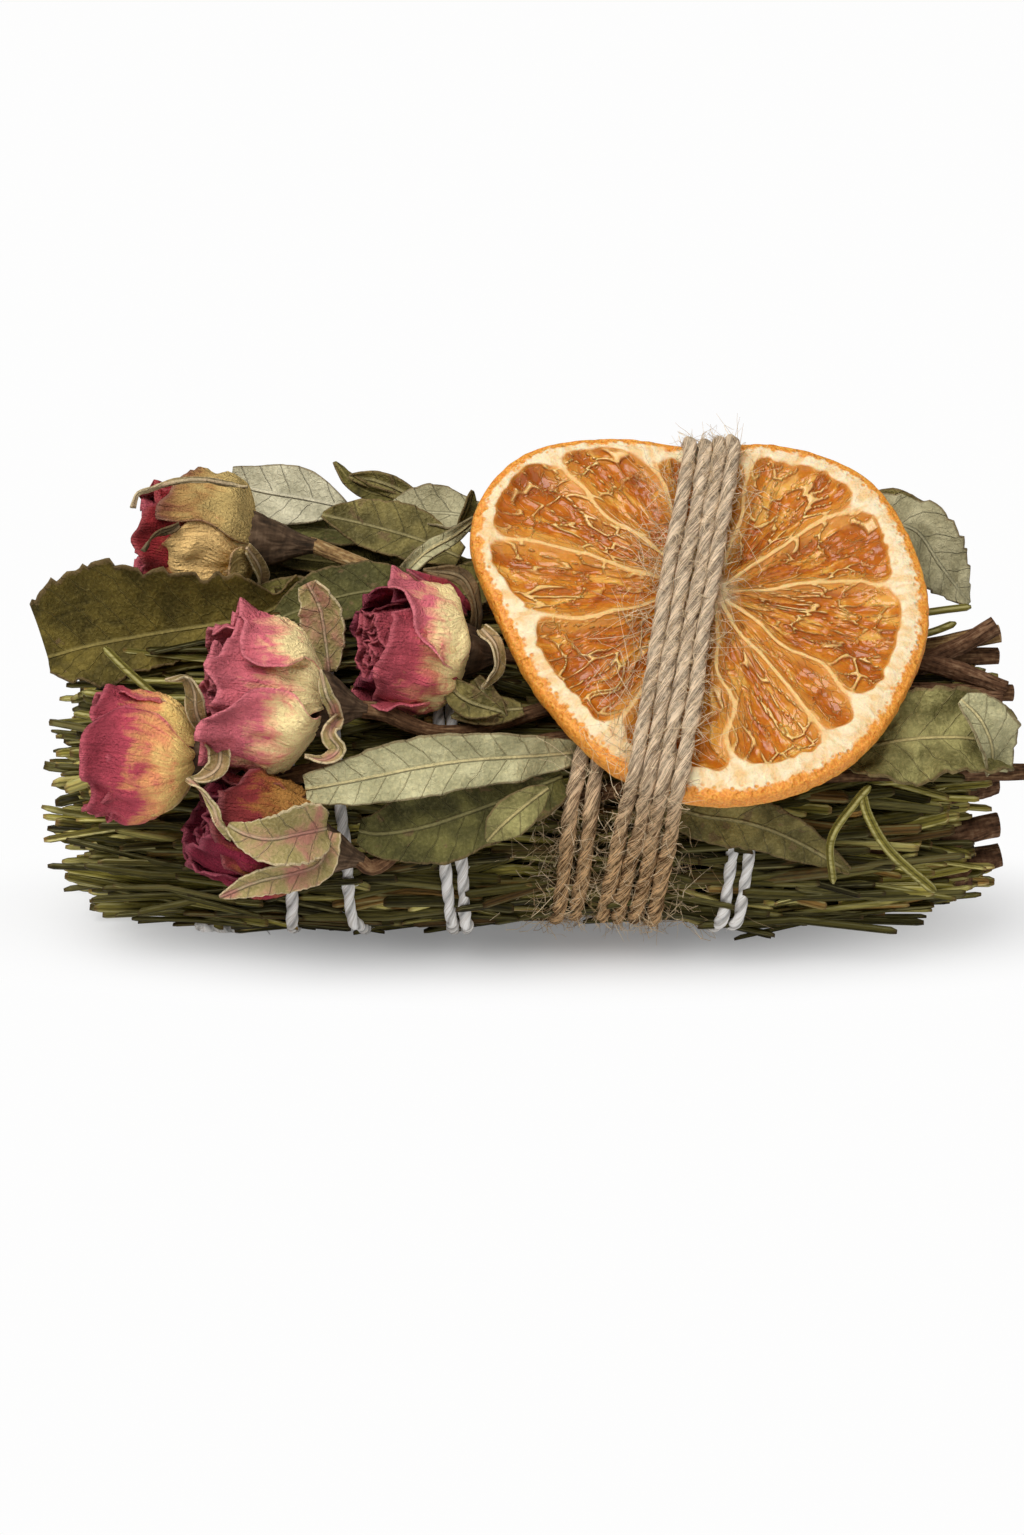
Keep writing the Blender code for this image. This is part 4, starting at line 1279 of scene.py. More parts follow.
@dataclass(frozen=True)
class HairFinish(Finish):
    """Loose fibres, each a little lighter or darker."""

    name: str
    dark: Colour
    light: Colour

    def material(self) -> Material:
        """Builds the material."""
        skin = Skin(self.name, 0.7)
        skin.set("Base Color", skin.mix(skin.attribute("tint"), self.dark, self.light))
        return skin.material


# The pale foot of dark petals, and the pale dry rim of sepals.
PETAL_FOOT = (0.94, 0.7, 0.32)
DRY_RIM = (0.7, 0.56, 0.34)


class Look(Enum):
    """Finishes to choose from by name."""

    @property
    def material(self) -> Material:
        """The finish's material."""
        return self.value.material_once()


class BarkLook(Look):
    """The finishes of stems, twigs and hips."""

    ROSEMARY = BarkFinish("rosemary_bark")
    # Near-black painted shade, for the mass that fills the bundle under its needles.
    SHADE = BarkFinish("rosemary_shade", (0.006, 0.006, 0.003), (0.018, 0.017, 0.007), (0.045, 0.04, 0.017))
    DARK = BarkFinish("bark_dark", (0.045, 0.022, 0.011), (0.14, 0.07, 0.034), (0.3, 0.18, 0.09))
    TAN = BarkFinish("bark_tan", (0.12, 0.06, 0.03), (0.32, 0.19, 0.075), (0.5, 0.36, 0.18))
    HIP = BarkFinish("bark_hip", (0.03, 0.02, 0.013), (0.09, 0.055, 0.032), (0.2, 0.13, 0.08))


class LeafLook(Look):
    """The finishes of leaves and sepals."""

    DARK = LeafFinish("leaf_dark", (0.15, 0.125, 0.03), (0.05, 0.042, 0.01), (0.26, 0.21, 0.07))
    MOSS = LeafFinish(
        "leaf_moss", (0.16, 0.118, 0.022), (0.075, 0.056, 0.01), (0.32, 0.25, 0.075), patches=0.68
    )
    OLIVE = LeafFinish(
        "leaf_olive", (0.26, 0.21, 0.066), (0.11, 0.09, 0.026), (0.37, 0.31, 0.14), patches=0.58
    )
    GREEN = LeafFinish("leaf_green", (0.135, 0.122, 0.034), (0.06, 0.055, 0.015), (0.24, 0.21, 0.085))
    SAGE = LeafFinish("leaf_sage", (0.3, 0.27, 0.1), (0.12, 0.105, 0.03), (0.52, 0.42, 0.18), patches=0.7)
    GREY = LeafFinish("leaf_grey", (0.5, 0.45, 0.27), (0.35, 0.31, 0.17), (0.5, 0.45, 0.27), patches=0.7)
    ASH = LeafFinish("leaf_ash", (0.62, 0.57, 0.39), (0.5, 0.46, 0.3), (0.66, 0.6, 0.42), patches=0.75)
    PALE = LeafFinish("leaf_pale", (0.53, 0.49, 0.28), (0.42, 0.39, 0.21), (0.7, 0.58, 0.28), patches=0.72)
    BROWN = LeafFinish("leaf_brown", (0.2, 0.13, 0.06), (0.11, 0.07, 0.035), (0.3, 0.22, 0.12))
    SEPAL_PALE = LeafFinish(
        "leaf_sepal_pale", (0.5, 0.42, 0.17), (0.34, 0.27, 0.1), DRY_RIM, DRY_RIM, 0.75, flush=0.8
    )
    SEPAL_TAN = LeafFinish(
        "leaf_sepal_tan", (0.36, 0.27, 0.1), (0.22, 0.15, 0.05), DRY_RIM, DRY_RIM, 0.8, flush=0.25
    )
    STRIP = LeafFinish(
        "leaf_petal_strip", (0.34, 0.045, 0.07), (0.2, 0.02, 0.035), (0.45, 0.12, 0.14), patches=0.9
    )


class PetalLook(Look):
    """The finishes of petals."""

    MAGENTA = PetalFinish("petal_magenta", PETAL_FOOT, (0.66, 0.23, 0.14), (0.52, 0.085, 0.11), 0.48)
    ORANGE = PetalFinish("petal_orange", (1, 0.68, 0.23), (0.8, 0.34, 0.14), (0.5, 0.07, 0.1), 0.46, 0.22)
    PINK = PetalFinish("petal_pink", (1, 0.78, 0.38), (0.86, 0.42, 0.25), (0.66, 0.15, 0.18), 0.48, 0.16)
    CREAM = PetalFinish("petal_cream", (0.86, 0.56, 0.22), (0.82, 0.48, 0.17), (0.55, 0.2, 0.09), 0.8, 0.1)
    WINE = PetalFinish("petal_wine", PETAL_FOOT, (0.42, 0.1, 0.05), (0.36, 0.03, 0.034), 0.46)
    CRIMSON = PetalFinish("petal_crimson", (0.3, 0.1, 0.04), (0.34, 0.05, 0.05), (0.26, 0.02, 0.045), 0.4)
    RUST = PetalFinish("petal_rust", (0.42, 0.2, 0.05), (0.3, 0.1, 0.03), (0.22, 0.03, 0.03), 0.6)
    KHAKI = PetalFinish(
        "petal_khaki", (0.58, 0.41, 0.15), (0.44, 0.25, 0.085), (0.22, 0.08, 0.04), 0.6, 0.22
    )


# ---- rosemary

# Nothing lies lower than this, so that no face lies in the floor.
FLOOR_CLEARANCE = 0.05 * MM


def settle(piece: Object, finish: Material | None = None, nodes: Sequence[str] = ()) -> None:
    """Gives a piece its finish and its place on the frame.

    Args:
        piece: The piece, whose mesh is final.
        finish: Its material, where it has none yet.
        nodes: The CAD nodes that it stands for.
    """
    if finish:
        piece.data.materials.clear()
        piece.data.materials.append(finish)
    places = np.empty(len(piece.data.vertices) * 3, np.float32)
    piece.data.vertices.foreach_get("co", places)
    places[2::3] = np.maximum(places[2::3], FLOOR_CLEARANCE)
    piece.data.vertices.foreach_set("co", places)
    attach(piece, "root")
    if nodes:
        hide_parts(*nodes)
    log.info("%s: %d faces", piece.name, len(piece.data.polygons))


@dataclass(frozen=True)
class SprigPlace:
    """Where one sprig lies in the bundle."""

    number: int
    angle: float
    depth: float
    radius: float
    start: float
    end: float
    stem_end: float
    sector: Pair | None

    @property
    def name(self) -> str:
        """The sprig's name, as in the frame."""
        return f"rosemary_sprig_{self.number:02d}"


@dataclass
class RosemaryBundle:
    """Sixteen sprigs: woody stems with needles, twelve round the outside and four inside."""

    seed: int = 4
    flutes: int = 5
    stem_around: int = 12
    stem_step: float = 1.2
    cover: float = 1.5
    outer: int = 12
    outer_radius: float = 4.5
    inner_radius: float = 4.85
    inner_depths: tuple[float, ...] = (14.1, 13.6, 14.1, 13.6)
    foliage: Pair = (-58.0, 57.0)
    stem_end: float = 68.0
    needles_per_mm2: float = 0.125
    needle_depth: float = 2.4
    coat_inset: float = 1.1
    tips_per_mm2: float = 0.2
    tip_depth: float = 2.6
    tip_spread: float = 0.9
    reversed_share: float = 0.22
    underside: float = -0.3
    heap_per_mm2: float = 0.16
    heap_x: Pair = (-47.0, -8.0)
    heap_degrees: Pair = (112.0, 52.0)
    heap_lift: float = 3.2
    heap_depth: float = 3.0

    def places(self) -> list[SprigPlace]:
        """Where each sprig lies, the same as in the frame."""
        draw = random.Random(self.seed)
        angles = list(CORE.even_angles(self.outer, -self.outer_radius))
        following = [*angles[1:], TAU + angles[0]]
        before = [angles[-1] - TAU, *angles[:-1]]
        spots = [
            (a, self.outer_radius, self.outer_radius, ((b + a) / 2, (a + c) / 2))
            for b, a, c in zip(before, angles, following)
        ]
        for k, depth in enumerate(self.inner_depths):
            spots.append((TAU * k / len(self.inner_depths), depth, self.inner_radius, None))
        found = []
        for number, (angle, depth, radius, sector) in enumerate(spots, 1):
            # The frame draws its flutes and lean too, which keeps the other draws in step.
            for _ in range(self.flutes):
                draw.uniform(0.0, 7.0)
            start = self.foliage[0] + draw.uniform(-1.0, 5.0)
            end = self.foliage[1] + draw.uniform(-4.0, 3.0)
            stem_end = self.stem_end + draw.uniform(-4.0, 3.5)
            draw.uniform(-0.9, 0.9)
            found.append(SprigPlace(number, angle, depth, radius, start, end, stem_end, sector))
        return found

    def axis(self, place: SprigPlace, x: Array) -> Array:
        """The sprig's middle line."""
        return CORE.section(x, place.angle, -place.depth)

    def coat_bed(self, place: SprigPlace) -> Object:
        """The part of the bundle's outline that this sprig's needles cover."""
        x = np.linspace(place.start + 4.0, place.end - 2.5, 34)[:, None]
        low, high = place.sector
        around = np.linspace(high, low, 8)[None]
        return Mesh.grid("coat_bed", CORE.section(x, around, -self.coat_inset))

    def tip_bed(self, place: SprigPlace) -> Object:
        """What the needles at both ends of the sprig grow from."""
        made = []
        for low, high in ((place.start + 3.5, place.start + 12.0), (place.end - 13.0, place.end - 1.0)):
            path = self.axis(place, np.linspace(low, high, 4))
            made.append(Mesh.grid("tip_bed", Sweep(path, 8).rings(place.radius * 0.72), closed=True))
        return Mesh.joined("tip_bed", made)

    def stem(self, place: SprigPlace) -> Object:
        """The woody stem, and round it a near-black mass of painted shade that stands for the short needles
        close round it.
        """
        start = place.start - 1.0 + place.number % 4
        path = evenly(self.axis(place, np.linspace(start, place.stem_end, 24)), self.stem_step)
        share = np.linspace(0.0, 1.0, len(path))[:, None]
        angle = ring_angles(self.stem_around)
        knots = noise_at(3, path[:, :1] * 0.25, place.number, np.cos(angle))
        radius = (1.0 + (0.5 + 0.14 * (place.number % 5)) * ease(0.2, 0.9, share)) * (1.0 + 0.4 * knots)
        wobble = noise_at(5, path[:, 0] * 0.09, place.number)
        path = path + stacked(0.0, wobble, np.roll(wobble, 3)) * ease(0.7, 1.0, share[:, 0])[:, None]
        stem = cut_tube(f"{place.name}_stem", path, radius, self.stem_around)
        stem.data.materials.append(BarkLook.ROSEMARY.material)
        path = self.axis(place, np.linspace(place.start + 8.0, place.end - 3.0, 27))
        share = np.linspace(0.0, 1.0, len(path))[:, None]
        swell = np.sin(math.pi * np.clip(share, 0.02, 0.98)) ** 0.35
        lumps = noise_at(9, path[:, :1] * 0.3, place.number, np.cos(angle) * 1.5)
        sweep = Sweep(path, self.stem_around)
        rings = sweep.rings((place.radius - self.cover) * swell * (1.0 + 0.15 * lumps))
        mass = Mesh.solid("mass", rings, grain=sweep.grain(), cut=np.zeros(rings.shape[:2]))
        # Painted shade: the mass is near black so that the gaps between needles look deep.
        mass.data.materials.append(BarkLook.SHADE.material)
        return Mesh.outward(Mesh.joined(f"{place.name}_stem", [stem, mass]))

    def build(self) -> None:
        """Builds and settles every sprig."""
        growth = NeedleGrowth()
        needle = growth.needle()
        finish = NeedleFinish().material()
        common = {"Needle": needle, "Material": finish, "Reversed": self.reversed_share}
        for place in self.places():
            settle(self.stem(place), nodes=[place.name])
            # Needles under the bundle are pressed closer to its line.
            looseness = 1.0 if math.sin(place.angle) > self.underside else 0.5
            tips = growth.grow(
                "tips", self.tip_bed(place), Density=self.tips_per_mm2 / MM**2, Depth=self.tip_depth * MM,
                Spread=self.tip_spread * looseness, Seed=place.number * 10, **common
            )
            grown = [tips]
            if place.sector:
                grown.append(
                    growth.grow(
                        "coat", self.coat_bed(place), Density=self.needles_per_mm2 / MM**2,
                        Depth=self.needle_depth * MM, Spread=looseness, Seed=place.number * 10 + 500,
                        **common
                    )
                )
            settle(Mesh.joined(f"{place.name}_needles", grown))
        x = np.linspace(*self.heap_x, 24)[:, None]
        around = np.radians(np.linspace(*self.heap_degrees, 12))[None]
        bed = Mesh.grid("heap", CORE.section(x, around, self.heap_lift))
        heap = growth.grow(
            "rosemary_loose_needles", bed, Density=self.heap_per_mm2 / MM**2, Depth=self.heap_depth * MM,
            Spread=1.4, Seed=77, **common
        )
        settle(heap)
        strays = Mesh.joined("rosemary_stray_needles", [stray.build() for stray in STRAY_NEEDLES])
        settle(strays, finish)
        for number, twig in enumerate(LOOSE_TWIGS, 1):
            twig.build(number)
        bpy.data.objects.remove(needle)


def cut_tube(name: str, path: Array, radius: Array, around: int) -> Object:
    """A stem with flat cut ends.

    Args:
        name: Its name.
        path: Its middle line.
        radius: Its radius at each point of the path and each angle.
        around: How many points a ring has.

    Returns:
        The stem, with "grain" and "cut" attributes for its bark.
    """
    bevel = 0.12
    sweep = Sweep(path, around)
    rings = sweep.rings(np.broadcast_to(radius, (len(path), around)))
    first, last = rings[:1], rings[-1:]
    inner = [blend(ring, ring.mean(axis=1, keepdims=True), bevel) for ring in (first, last)]
    points = np.concatenate((inner[0], rings, inner[1]))
    grain = sweep.grain()
    grain = np.concatenate((grain[:1], grain, grain[-1:]))
    cut = np.zeros(points.shape[:2])
    cut[0] = cut[-1] = 1.0
    return Mesh.solid(name, points, grain=grain, cut=cut)


@dataclass(frozen=True)
class Twig:
    """A loose woody twig on the bundle."""

    route: tuple[Point, ...]
    radius: float
    around: int = 14
    step: float = 0.7

    def build(self, number: int) -> None:
        """Builds and settles the twig."""
        path = evenly(smooth_path(self.route, 8), self.step)
        angle, reached = ring_angles(self.around), distances(path)[:, None]
        ridges = noise_at(31, np.cos(angle) * 1.8, np.sin(angle) * 1.8, reached * 0.09 + number)
        knots = noise_at(32, reached * 0.3, number, np.cos(angle))
        radius = self.radius * (1.0 + 0.2 * ridges + 0.22 * knots)
        twig = cut_tube(f"loose_twig_{number:02d}", path, radius, self.around)
        settle(twig, BarkLook.ROSEMARY.material)


LOOSE_TWIGS = (
    Twig(((46, -6, 41.4), (52, -7, 41), (57.5, -6, 41.8), (64, -4.5, 44.6), (69.3, -3.5, 47.6)), 1.35),
    Twig(((44, -7, 43.6), (52, -8, 44.8), (62.4, -9, 42.8), (70.4, -9.6, 40)), 1.3),
    Twig(((44, -12, 41), (57.3, -12.4, 41), (63.7, -12.4, 40.2), (69.6, -12.2, 39.6)), 1.1),
    Twig(((48, 1, 41.4), (59.6, 0.6, 42.9), (65.5, 1.4, 43.8), (69.6, 2.2, 45)), 1),
    Twig(((40, -20.5, 33.8), (50, -21, 32.6), (60, -20, 31.8), (70, -18.5, 31.6)), 1.3),
)


@dataclass(frozen=True)
class StrayNeedle:
    """A long needle that has come loose and bends over the others."""

    route: tuple[Point, ...]
    half_width: float = 0.75
    around: int = 8
    step: float = 0.7
    tone: float = 0.45

    def build(self) -> Object:
        """Builds the needle."""
        path = evenly(smooth_path(self.route, 8), self.step)
        share = np.linspace(0.0, 1.0, len(path))[:, None]
        angle = ring_angles(self.around)
        groove = 1.0 - 0.35 * np.exp(-(((angle - math.pi / 2 + math.pi) % TAU - math.pi) ** 2) * 4)
        ends = np.minimum(1.0, np.minimum(share, 1.0 - share) * 12 + 0.45)
        flat = np.hypot(np.cos(angle), 0.55 * np.sin(angle))
        tint = np.full((len(path), self.around), self.tone)
        lateral = np.broadcast_to(np.cos(angle), tint.shape)
        rings = Sweep(path, self.around).rings(self.half_width * groove * flat * ends)
        # Painted shade: strays take a fixed share of the needles' depth shade.
        return Mesh.solid("stray", rings, tint=tint, buried=tint * 0.95, lateral=lateral)


STRAY_NEEDLES = (
    StrayNeedle(((50, -27.4, 32.4), (48, -28.6, 30.5), (44.6, -29.8, 25.4), (45.1, -29, 18.3))),
    StrayNeedle(((48.9, -27.8, 31.7), (49.7, -29.8, 28.8), (52.9, -30.2, 23.6), (59.5, -29, 17))),
    StrayNeedle(((-57.6, -13, 47.6), (-54.3, -15, 44.9), (-49, -17, 40.6))),
    StrayNeedle(((-61, -12, 40.5), (-54, -14, 40.4), (-45, -15.5, 40.9))),
    StrayNeedle(((-60, -9, 41.5), (-52, -11, 41.8), (-42, -13.5, 42.6))),
    StrayNeedle(((-62, -15, 38.5), (-55, -17.5, 38.2), (-47, -19.5, 38))),
    StrayNeedle(((56, 2, 46.8), (62, 3.5, 47.2), (66.5, 4, 47.6))),
    StrayNeedle(((54, -1, 44), (60, -1, 45.4), (64, 0.5, 46.4))),
)


# ---- ties


@dataclass
class Cord:
    """A twisted cord along its route, with loose fibres."""

    name: str
    route: Array
    radius: float
    plies: int
    pitch: float
    groove: float
    finish: FibreFinish
    hair: HairFinish
    hairs_per_mm2: float
    hair_size: float
    slack: float = 0.25
    around: int = 12
    step: float = 0.45

    def build(self) -> None:
        """Builds and settles the cord and its fibres."""
        path = evenly(smooth_path(self.route, 6), self.step)
        sway = [noise_at(6, distances(path) * 0.11, k * 9.0) for k in range(3)]
        path = path + self.slack * stacked(*sway)
        sweep = Sweep(path, self.around)
        reached = distances(path)[:, None]
        turned = sweep.angles()[None] - TAU * reached / self.pitch
        lobes = np.abs(np.cos(turned * self.plies / 2))
        uneven = noise_at(2, reached * 0.35)
        rough = noise_at(8, reached * 0.9, np.cos(turned) * 2, np.sin(turned) * 2)
        radius = self.radius * (1.0 - self.groove * (1.0 - lobes**0.7) + 0.09 * uneven + 0.06 * rough)
        # sunk marks the grooves between the plies, where the finish paints shade.
        cord = Mesh.solid(
            self.name, sweep.rings(radius), grain=sweep.grain(self.pitch), sunk=(1.0 - lobes) ** 2
        )
        settle(cord, self.finish.material(), [self.node])
        if self.hairs_per_mm2:
            self.fuzz(path)

    @property
    def node(self) -> str:
        """The solid that the cord stands for."""
        return self.name.removesuffix("_cord")

    def fuzz(self, path: Array) -> None:
        """The fibres that stand off the cord."""
        host = Mesh.grid("host", Sweep(evenly(path, 1.6), 6).rings(self.radius * 0.92), closed=True)
        growth = FuzzGrowth()
        fibre = growth.fibre()
        grown = growth.grow(
            f"{self.node}_fibres", Mesh.outward(host), Fibre=fibre, Density=self.hairs_per_mm2 / MM**2,
            Tilt=1.35, Size=self.hair_size, Curl=1.0, Seed=11, Material=self.hair.material_once()
        )
        bpy.data.objects.remove(fibre)
        settle(grown)


@dataclass(frozen=True)
class ShedFibres:
    """Fine fibres of the twine caught on what lies beside it."""

    per_mm2: float = 0.6
    size: float = 8.0
    lift: float = 0.7
    strip_width: float = 7.5
    strip_slant: Pair = (-8.5, 2.5)
    strip_reach: float = 27.0
    strip_end: float = 0.92
    front_x: Pair = (3.0, 27.0)
    front_degrees: Pair = (238.0, 165.0)
    front_lift: float = 1.6

    def beds(self) -> list[Object]:
        """Strips beside the twine: on the slice's face, and on the bundle's front."""
        end = self.strip_end
        share = np.linspace(-end, end, 30)[:, None]
        across = np.linspace(-1.0, 1.0, 14)[None] * self.strip_width
        x = np.interp(share, (-end, end), self.strip_slant) + across
        y = share * self.strip_reach
        around = np.arctan2(y, x)
        on_slice = SLICE.point(
            around, np.hypot(x, y) / SLICE.reach(around), SLICE.thickness / 2 + self.lift
        )
        x = np.linspace(*self.front_x, 24)[:, None]
        around = np.radians(np.linspace(*self.front_degrees, 16))[None]
        return [Mesh.grid("bed", on_slice), Mesh.grid("bed", CORE.section(x, around, self.front_lift))]

    def build(self, hair: HairFinish) -> None:
        """Builds and settles the fibres."""
        growth = FuzzGrowth()
        fibre = growth.fibre()
        grown = growth.grow(
            "jute_twine_shed_fibres", Mesh.joined("bed", self.beds()), Fibre=fibre,
            Density=self.per_mm2 / MM**2, Tilt=1.5, Size=self.size, Curl=3.0, Seed=5,
            Material=hair.material_once()
        )
        bpy.data.objects.remove(fibre)
        settle(grown)


@dataclass
class Ties:
    """The cotton string and the jute twine."""

    routes: TieRoutes = TieRoutes()

    def build(self) -> None:
        """Builds both cords, and the fibres shed round the twine."""
        jute_hair = HairFinish("jute_hair", (0.4, 0.24, 0.1), (1.0, 0.8, 0.52))
        Cord(
            "jute_twine_cord", evenly(self.routes.jute(), 2.2), radius=1.1, plies=3, pitch=13.0,
            groove=0.21,
            # The last colour is the painted shade of the twine's light fibres lower down.
            finish=FibreFinish(
                "jute_fibres", (0.12, 0.056, 0.022), (1.0, 0.78, 0.54), 7.0, 0.5, (0.85, 0.54, 0.27)
            ),
            hair=jute_hair, hairs_per_mm2=0.5, hair_size=4.2
        ).build()
        Cord(
            "cotton_string_cord", self.routes.cotton(), radius=0.88, plies=2, pitch=7.5, groove=0.26,
            finish=FibreFinish("cotton_fibres", (0.7, 0.66, 0.61), (0.93, 0.91, 0.88), 3.2, 0.12),
            hair=HairFinish("cotton_hair", (0.7, 0.67, 0.63), (0.9, 0.88, 0.86)), hairs_per_mm2=0.04,
            hair_size=1.6
        ).build()
        ShedFibres().build(jute_hair)


# ---- orange slice


@dataclass
class OrangeSlice:
    """The dried slice: rind, pith, membranes that meet at its hub, and shrunken pulp."""

    hub: Pair = (2.1, 4.05)
    membranes: tuple[float, ...] = (4, 36, 74, 114, 140, 164, 195, 238, 274, 301, 320)
    columns: int = 440
    face_rows: int = 112
    back_rows: int = 34
    rim_rows: int = 9
    recess: float = 1.45
    thinnest: float = 0.25
    fold_height: float = 0.4
    crease_height: float = 0.2
    sac_height: float = 0.7
    sacs_around: int = 84
    sac_length: float = 7.0

    def flat(self, share: Array, around: Array) -> tuple[Array, Array]:
        """Places in the slice's plane, that share of the way from the hub to the rind."""
        reach = SLICE.reach(around)
        across = blend(self.hub[0], np.cos(around) * reach, share)
        up = blend(self.hub[1], np.sin(around) * reach, share)
        return across, up

    def walls(self, radius: Array, angle: Array, seed: int) -> tuple[Array, Array, Array]:
        """The membranes as seen from the hub.

        Args:
            radius: Distance from the hub.
            angle: Direction from the hub, in radians.
            seed: Picks how they waver.

        Returns:
            How much of a membrane is at each place, how near its direction is, and how
            near its crest, all between 0 and 1.
        """
        wall = np.zeros(np.broadcast(radius, angle).shape)
        near, crest = np.zeros_like(wall), np.zeros_like(wall)
        for k, degrees in enumerate(self.membranes):
            waver = 0.07 * noise_at(seed, radius * 0.16, k * 7.0)
            off = (angle - math.radians(degrees) - waver + math.pi) % TAU - math.pi
            distance = np.abs(off) * radius
            width = 1.15 + 0.85 * ease(12.0, 27.0, radius) + 0.25 * noise_at(seed, radius * 0.4, k, 1)
            wall = np.maximum(wall, np.exp(-((distance / width) ** 1.7)))
            crest = np.maximum(crest, np.exp(-((distance / 0.34) ** 2)))
            near = np.maximum(near, np.exp(-((distance / 1.9) ** 2)))
        return wall, near, crest

    def vesicles(self, angle: Array, radius: Array, seed: int) -> tuple[Array, Array]:
        """The walls between the juice sacs, which are long and lie out from the hub.

        Args:
            angle: Direction from the hub, in radians.
            radius: Distance from the hub.
            seed: Picks how the sacs lie.

        Returns:
            How much of a wall is at each place, between 0 and 1, and each sac's own tone.
        """
        place = stacked(np.cos(angle) * 4.5, np.sin(angle) * 4.5, radius * 0.2)
        across = angle / TAU * self.sacs_around + 0.9 * value_noise(place, seed)
        along = radius / self.sac_length + 0.9 * value_noise(place, seed + 1)
        first = np.full(across.shape, 9.0)
        second, tone = first.copy(), np.zeros_like(first)
        for column, row in itertools.product((-1, 0, 1), repeat=2):
            cell_across, cell_along = np.floor(across) + column, np.floor(along) + row
            key = stacked(cell_across % self.sacs_around * 3.7, cell_along * 5.3, seed)
            apart = np.hypot(
                cell_across + 0.5 + 0.45 * value_noise(key, 61) - across,
                cell_along + 0.5 + 0.45 * value_noise(key, 62) - along
            )
            tone = np.where(apart < first, value_noise(key, 63), tone)
            second = np.minimum(second, np.maximum(first, apart))
            first = np.minimum(first, apart)
        strength = 0.7 + 0.5 * noise_at(seed + 2, across * 0.4, along * 0.5)
        return np.exp(-(((second - first) / 0.13) ** 2)) * np.clip(strength, 0.25, 1.0), tone

    def face(self, share: Array, around: Array, seed: int) -> tuple[Array, dict[str, Array]]:
        """How high one face stands above the middle plane.

        Args:
            share: The way from the hub to the rind, for each row.
            around: The rind's direction from the slice's middle, for each column.
            seed: Picks the face's own roughness.

        Returns:
            The height in millimetres, and the attributes for the finish.
        """
        across, up = self.flat(share, around)
        radius = np.hypot(across - self.hub[0], up - self.hub[1])
        rim_across, rim_up = self.flat(np.ones_like(around), around)
        full = np.hypot(rim_across - self.hub[0], rim_up - self.hub[1])
        angle = np.arctan2(rim_up - self.hub[1], rim_across - self.hub[0])
        depth = full - radius
        wall, near, crest = self.walls(radius, angle, seed)
        place = stacked(np.cos(angle) * 8, np.sin(angle) * 8, radius * 0.2)
        folds = rough_noise(place, seed + 20)
        creases = rough_noise(place * np.array((2.4, 2.4, 2.0)), seed + 30)
        ragged = noise_at(seed + 40, np.cos(angle) * 6, np.sin(angle) * 6)
        lobes = np.abs(noise_at(seed + 45, np.cos(angle) * 15, np.sin(angle) * 15))
        pith = 2.8 + 0.9 * np.cos(angle + 0.9) + 0.6 * ragged + 1.4 * near + 0.8 * lobes
        inside = ease(-0.3, 0.7, depth - pith) * ease(1.2, 2.8, radius)
        bowl = ease(-0.3, 2.6, depth - pith)
        sunk = inside * (1.0 - 0.85 * wall) * (0.35 + 0.65 * bowl)
        sacs, tone = self.vesicles(angle, radius, seed + 60)
        height = SLICE.thickness / 2 - self.recess * sunk - self.fold_height * inside * folds
        height = height - self.crease_height * inside * creases
        height = np.maximum(height + self.sac_height * sunk * (sacs - 0.3), self.thinnest)
        height = height + 0.12 * noise_at(seed + 50, across * 0.9, up * 0.9)
        height = height - 0.45 * ease(1.2, 0.0, depth) - 0.25 * ease(2.6, 1.2, depth)
        grain = stacked(np.cos(angle), np.sin(angle), radius)
        return height, {
            "grain": grain,
            "zone": stacked(depth, wall * inside, sunk),
            "sacs": np.maximum(sacs, crest) * inside,
            "tone": tone,
        }

    def build(self) -> None:
        """Builds and settles the slice as one closed piece."""
        around = ring_angles(self.columns)[None]
        rows, faces = [], []
        for side, count, seed in ((1, self.face_rows, 1), (-1, self.back_rows, 101)):
            share = np.linspace(0.02, 1.0, count)[:, None] ** 0.92
            height, attributes = self.face(share, around, seed)
            across, up = self.flat(share, around)
            angle = np.arctan2(up, across)
            points = SLICE.point(angle, np.hypot(across, up) / SLICE.reach(angle), side * height)
            order = slice(None, None, side)
            rows.append(points[order])
            faces.append({name: values[order] for name, values in attributes.items()})
        rim = np.linspace(0.0, 1.0, self.rim_rows + 2)[1:-1, None]
        top, bottom = rows[0][-1], rows[1][0]
        outward = unit(top - np.array(SLICE.centre))
        dents = noise_at(77, np.cos(around) * 28, np.sin(around) * 28, rim * 4)
        bulge = 0.4 * np.sin(math.pi * rim) ** 0.6 + 0.12 * dents
        edge = blend(top[None], bottom[None], rim[..., None]) + outward[None] * bulge[..., None]
        points = np.concatenate((rows[0], edge, rows[1]))
        attributes = {}
        for name, values in faces[0].items():
            keep = 1.0 if name == "grain" else 0.0
            between = np.broadcast_to(values[-1:] * keep, (len(edge), *values.shape[1:]))
            attributes[name] = np.concatenate((values, between, faces[1][name]))
        piece = Mesh.solid("orange_slice_dried", points, **attributes)
        settle(piece, OrangeFinish().material(), ["orange_slice"])


# ---- blades

# The mesh of a blade, in millimetres: along its spine, and across it.
BLADE_STEP = 0.5
BLADE_COLUMN = 0.48


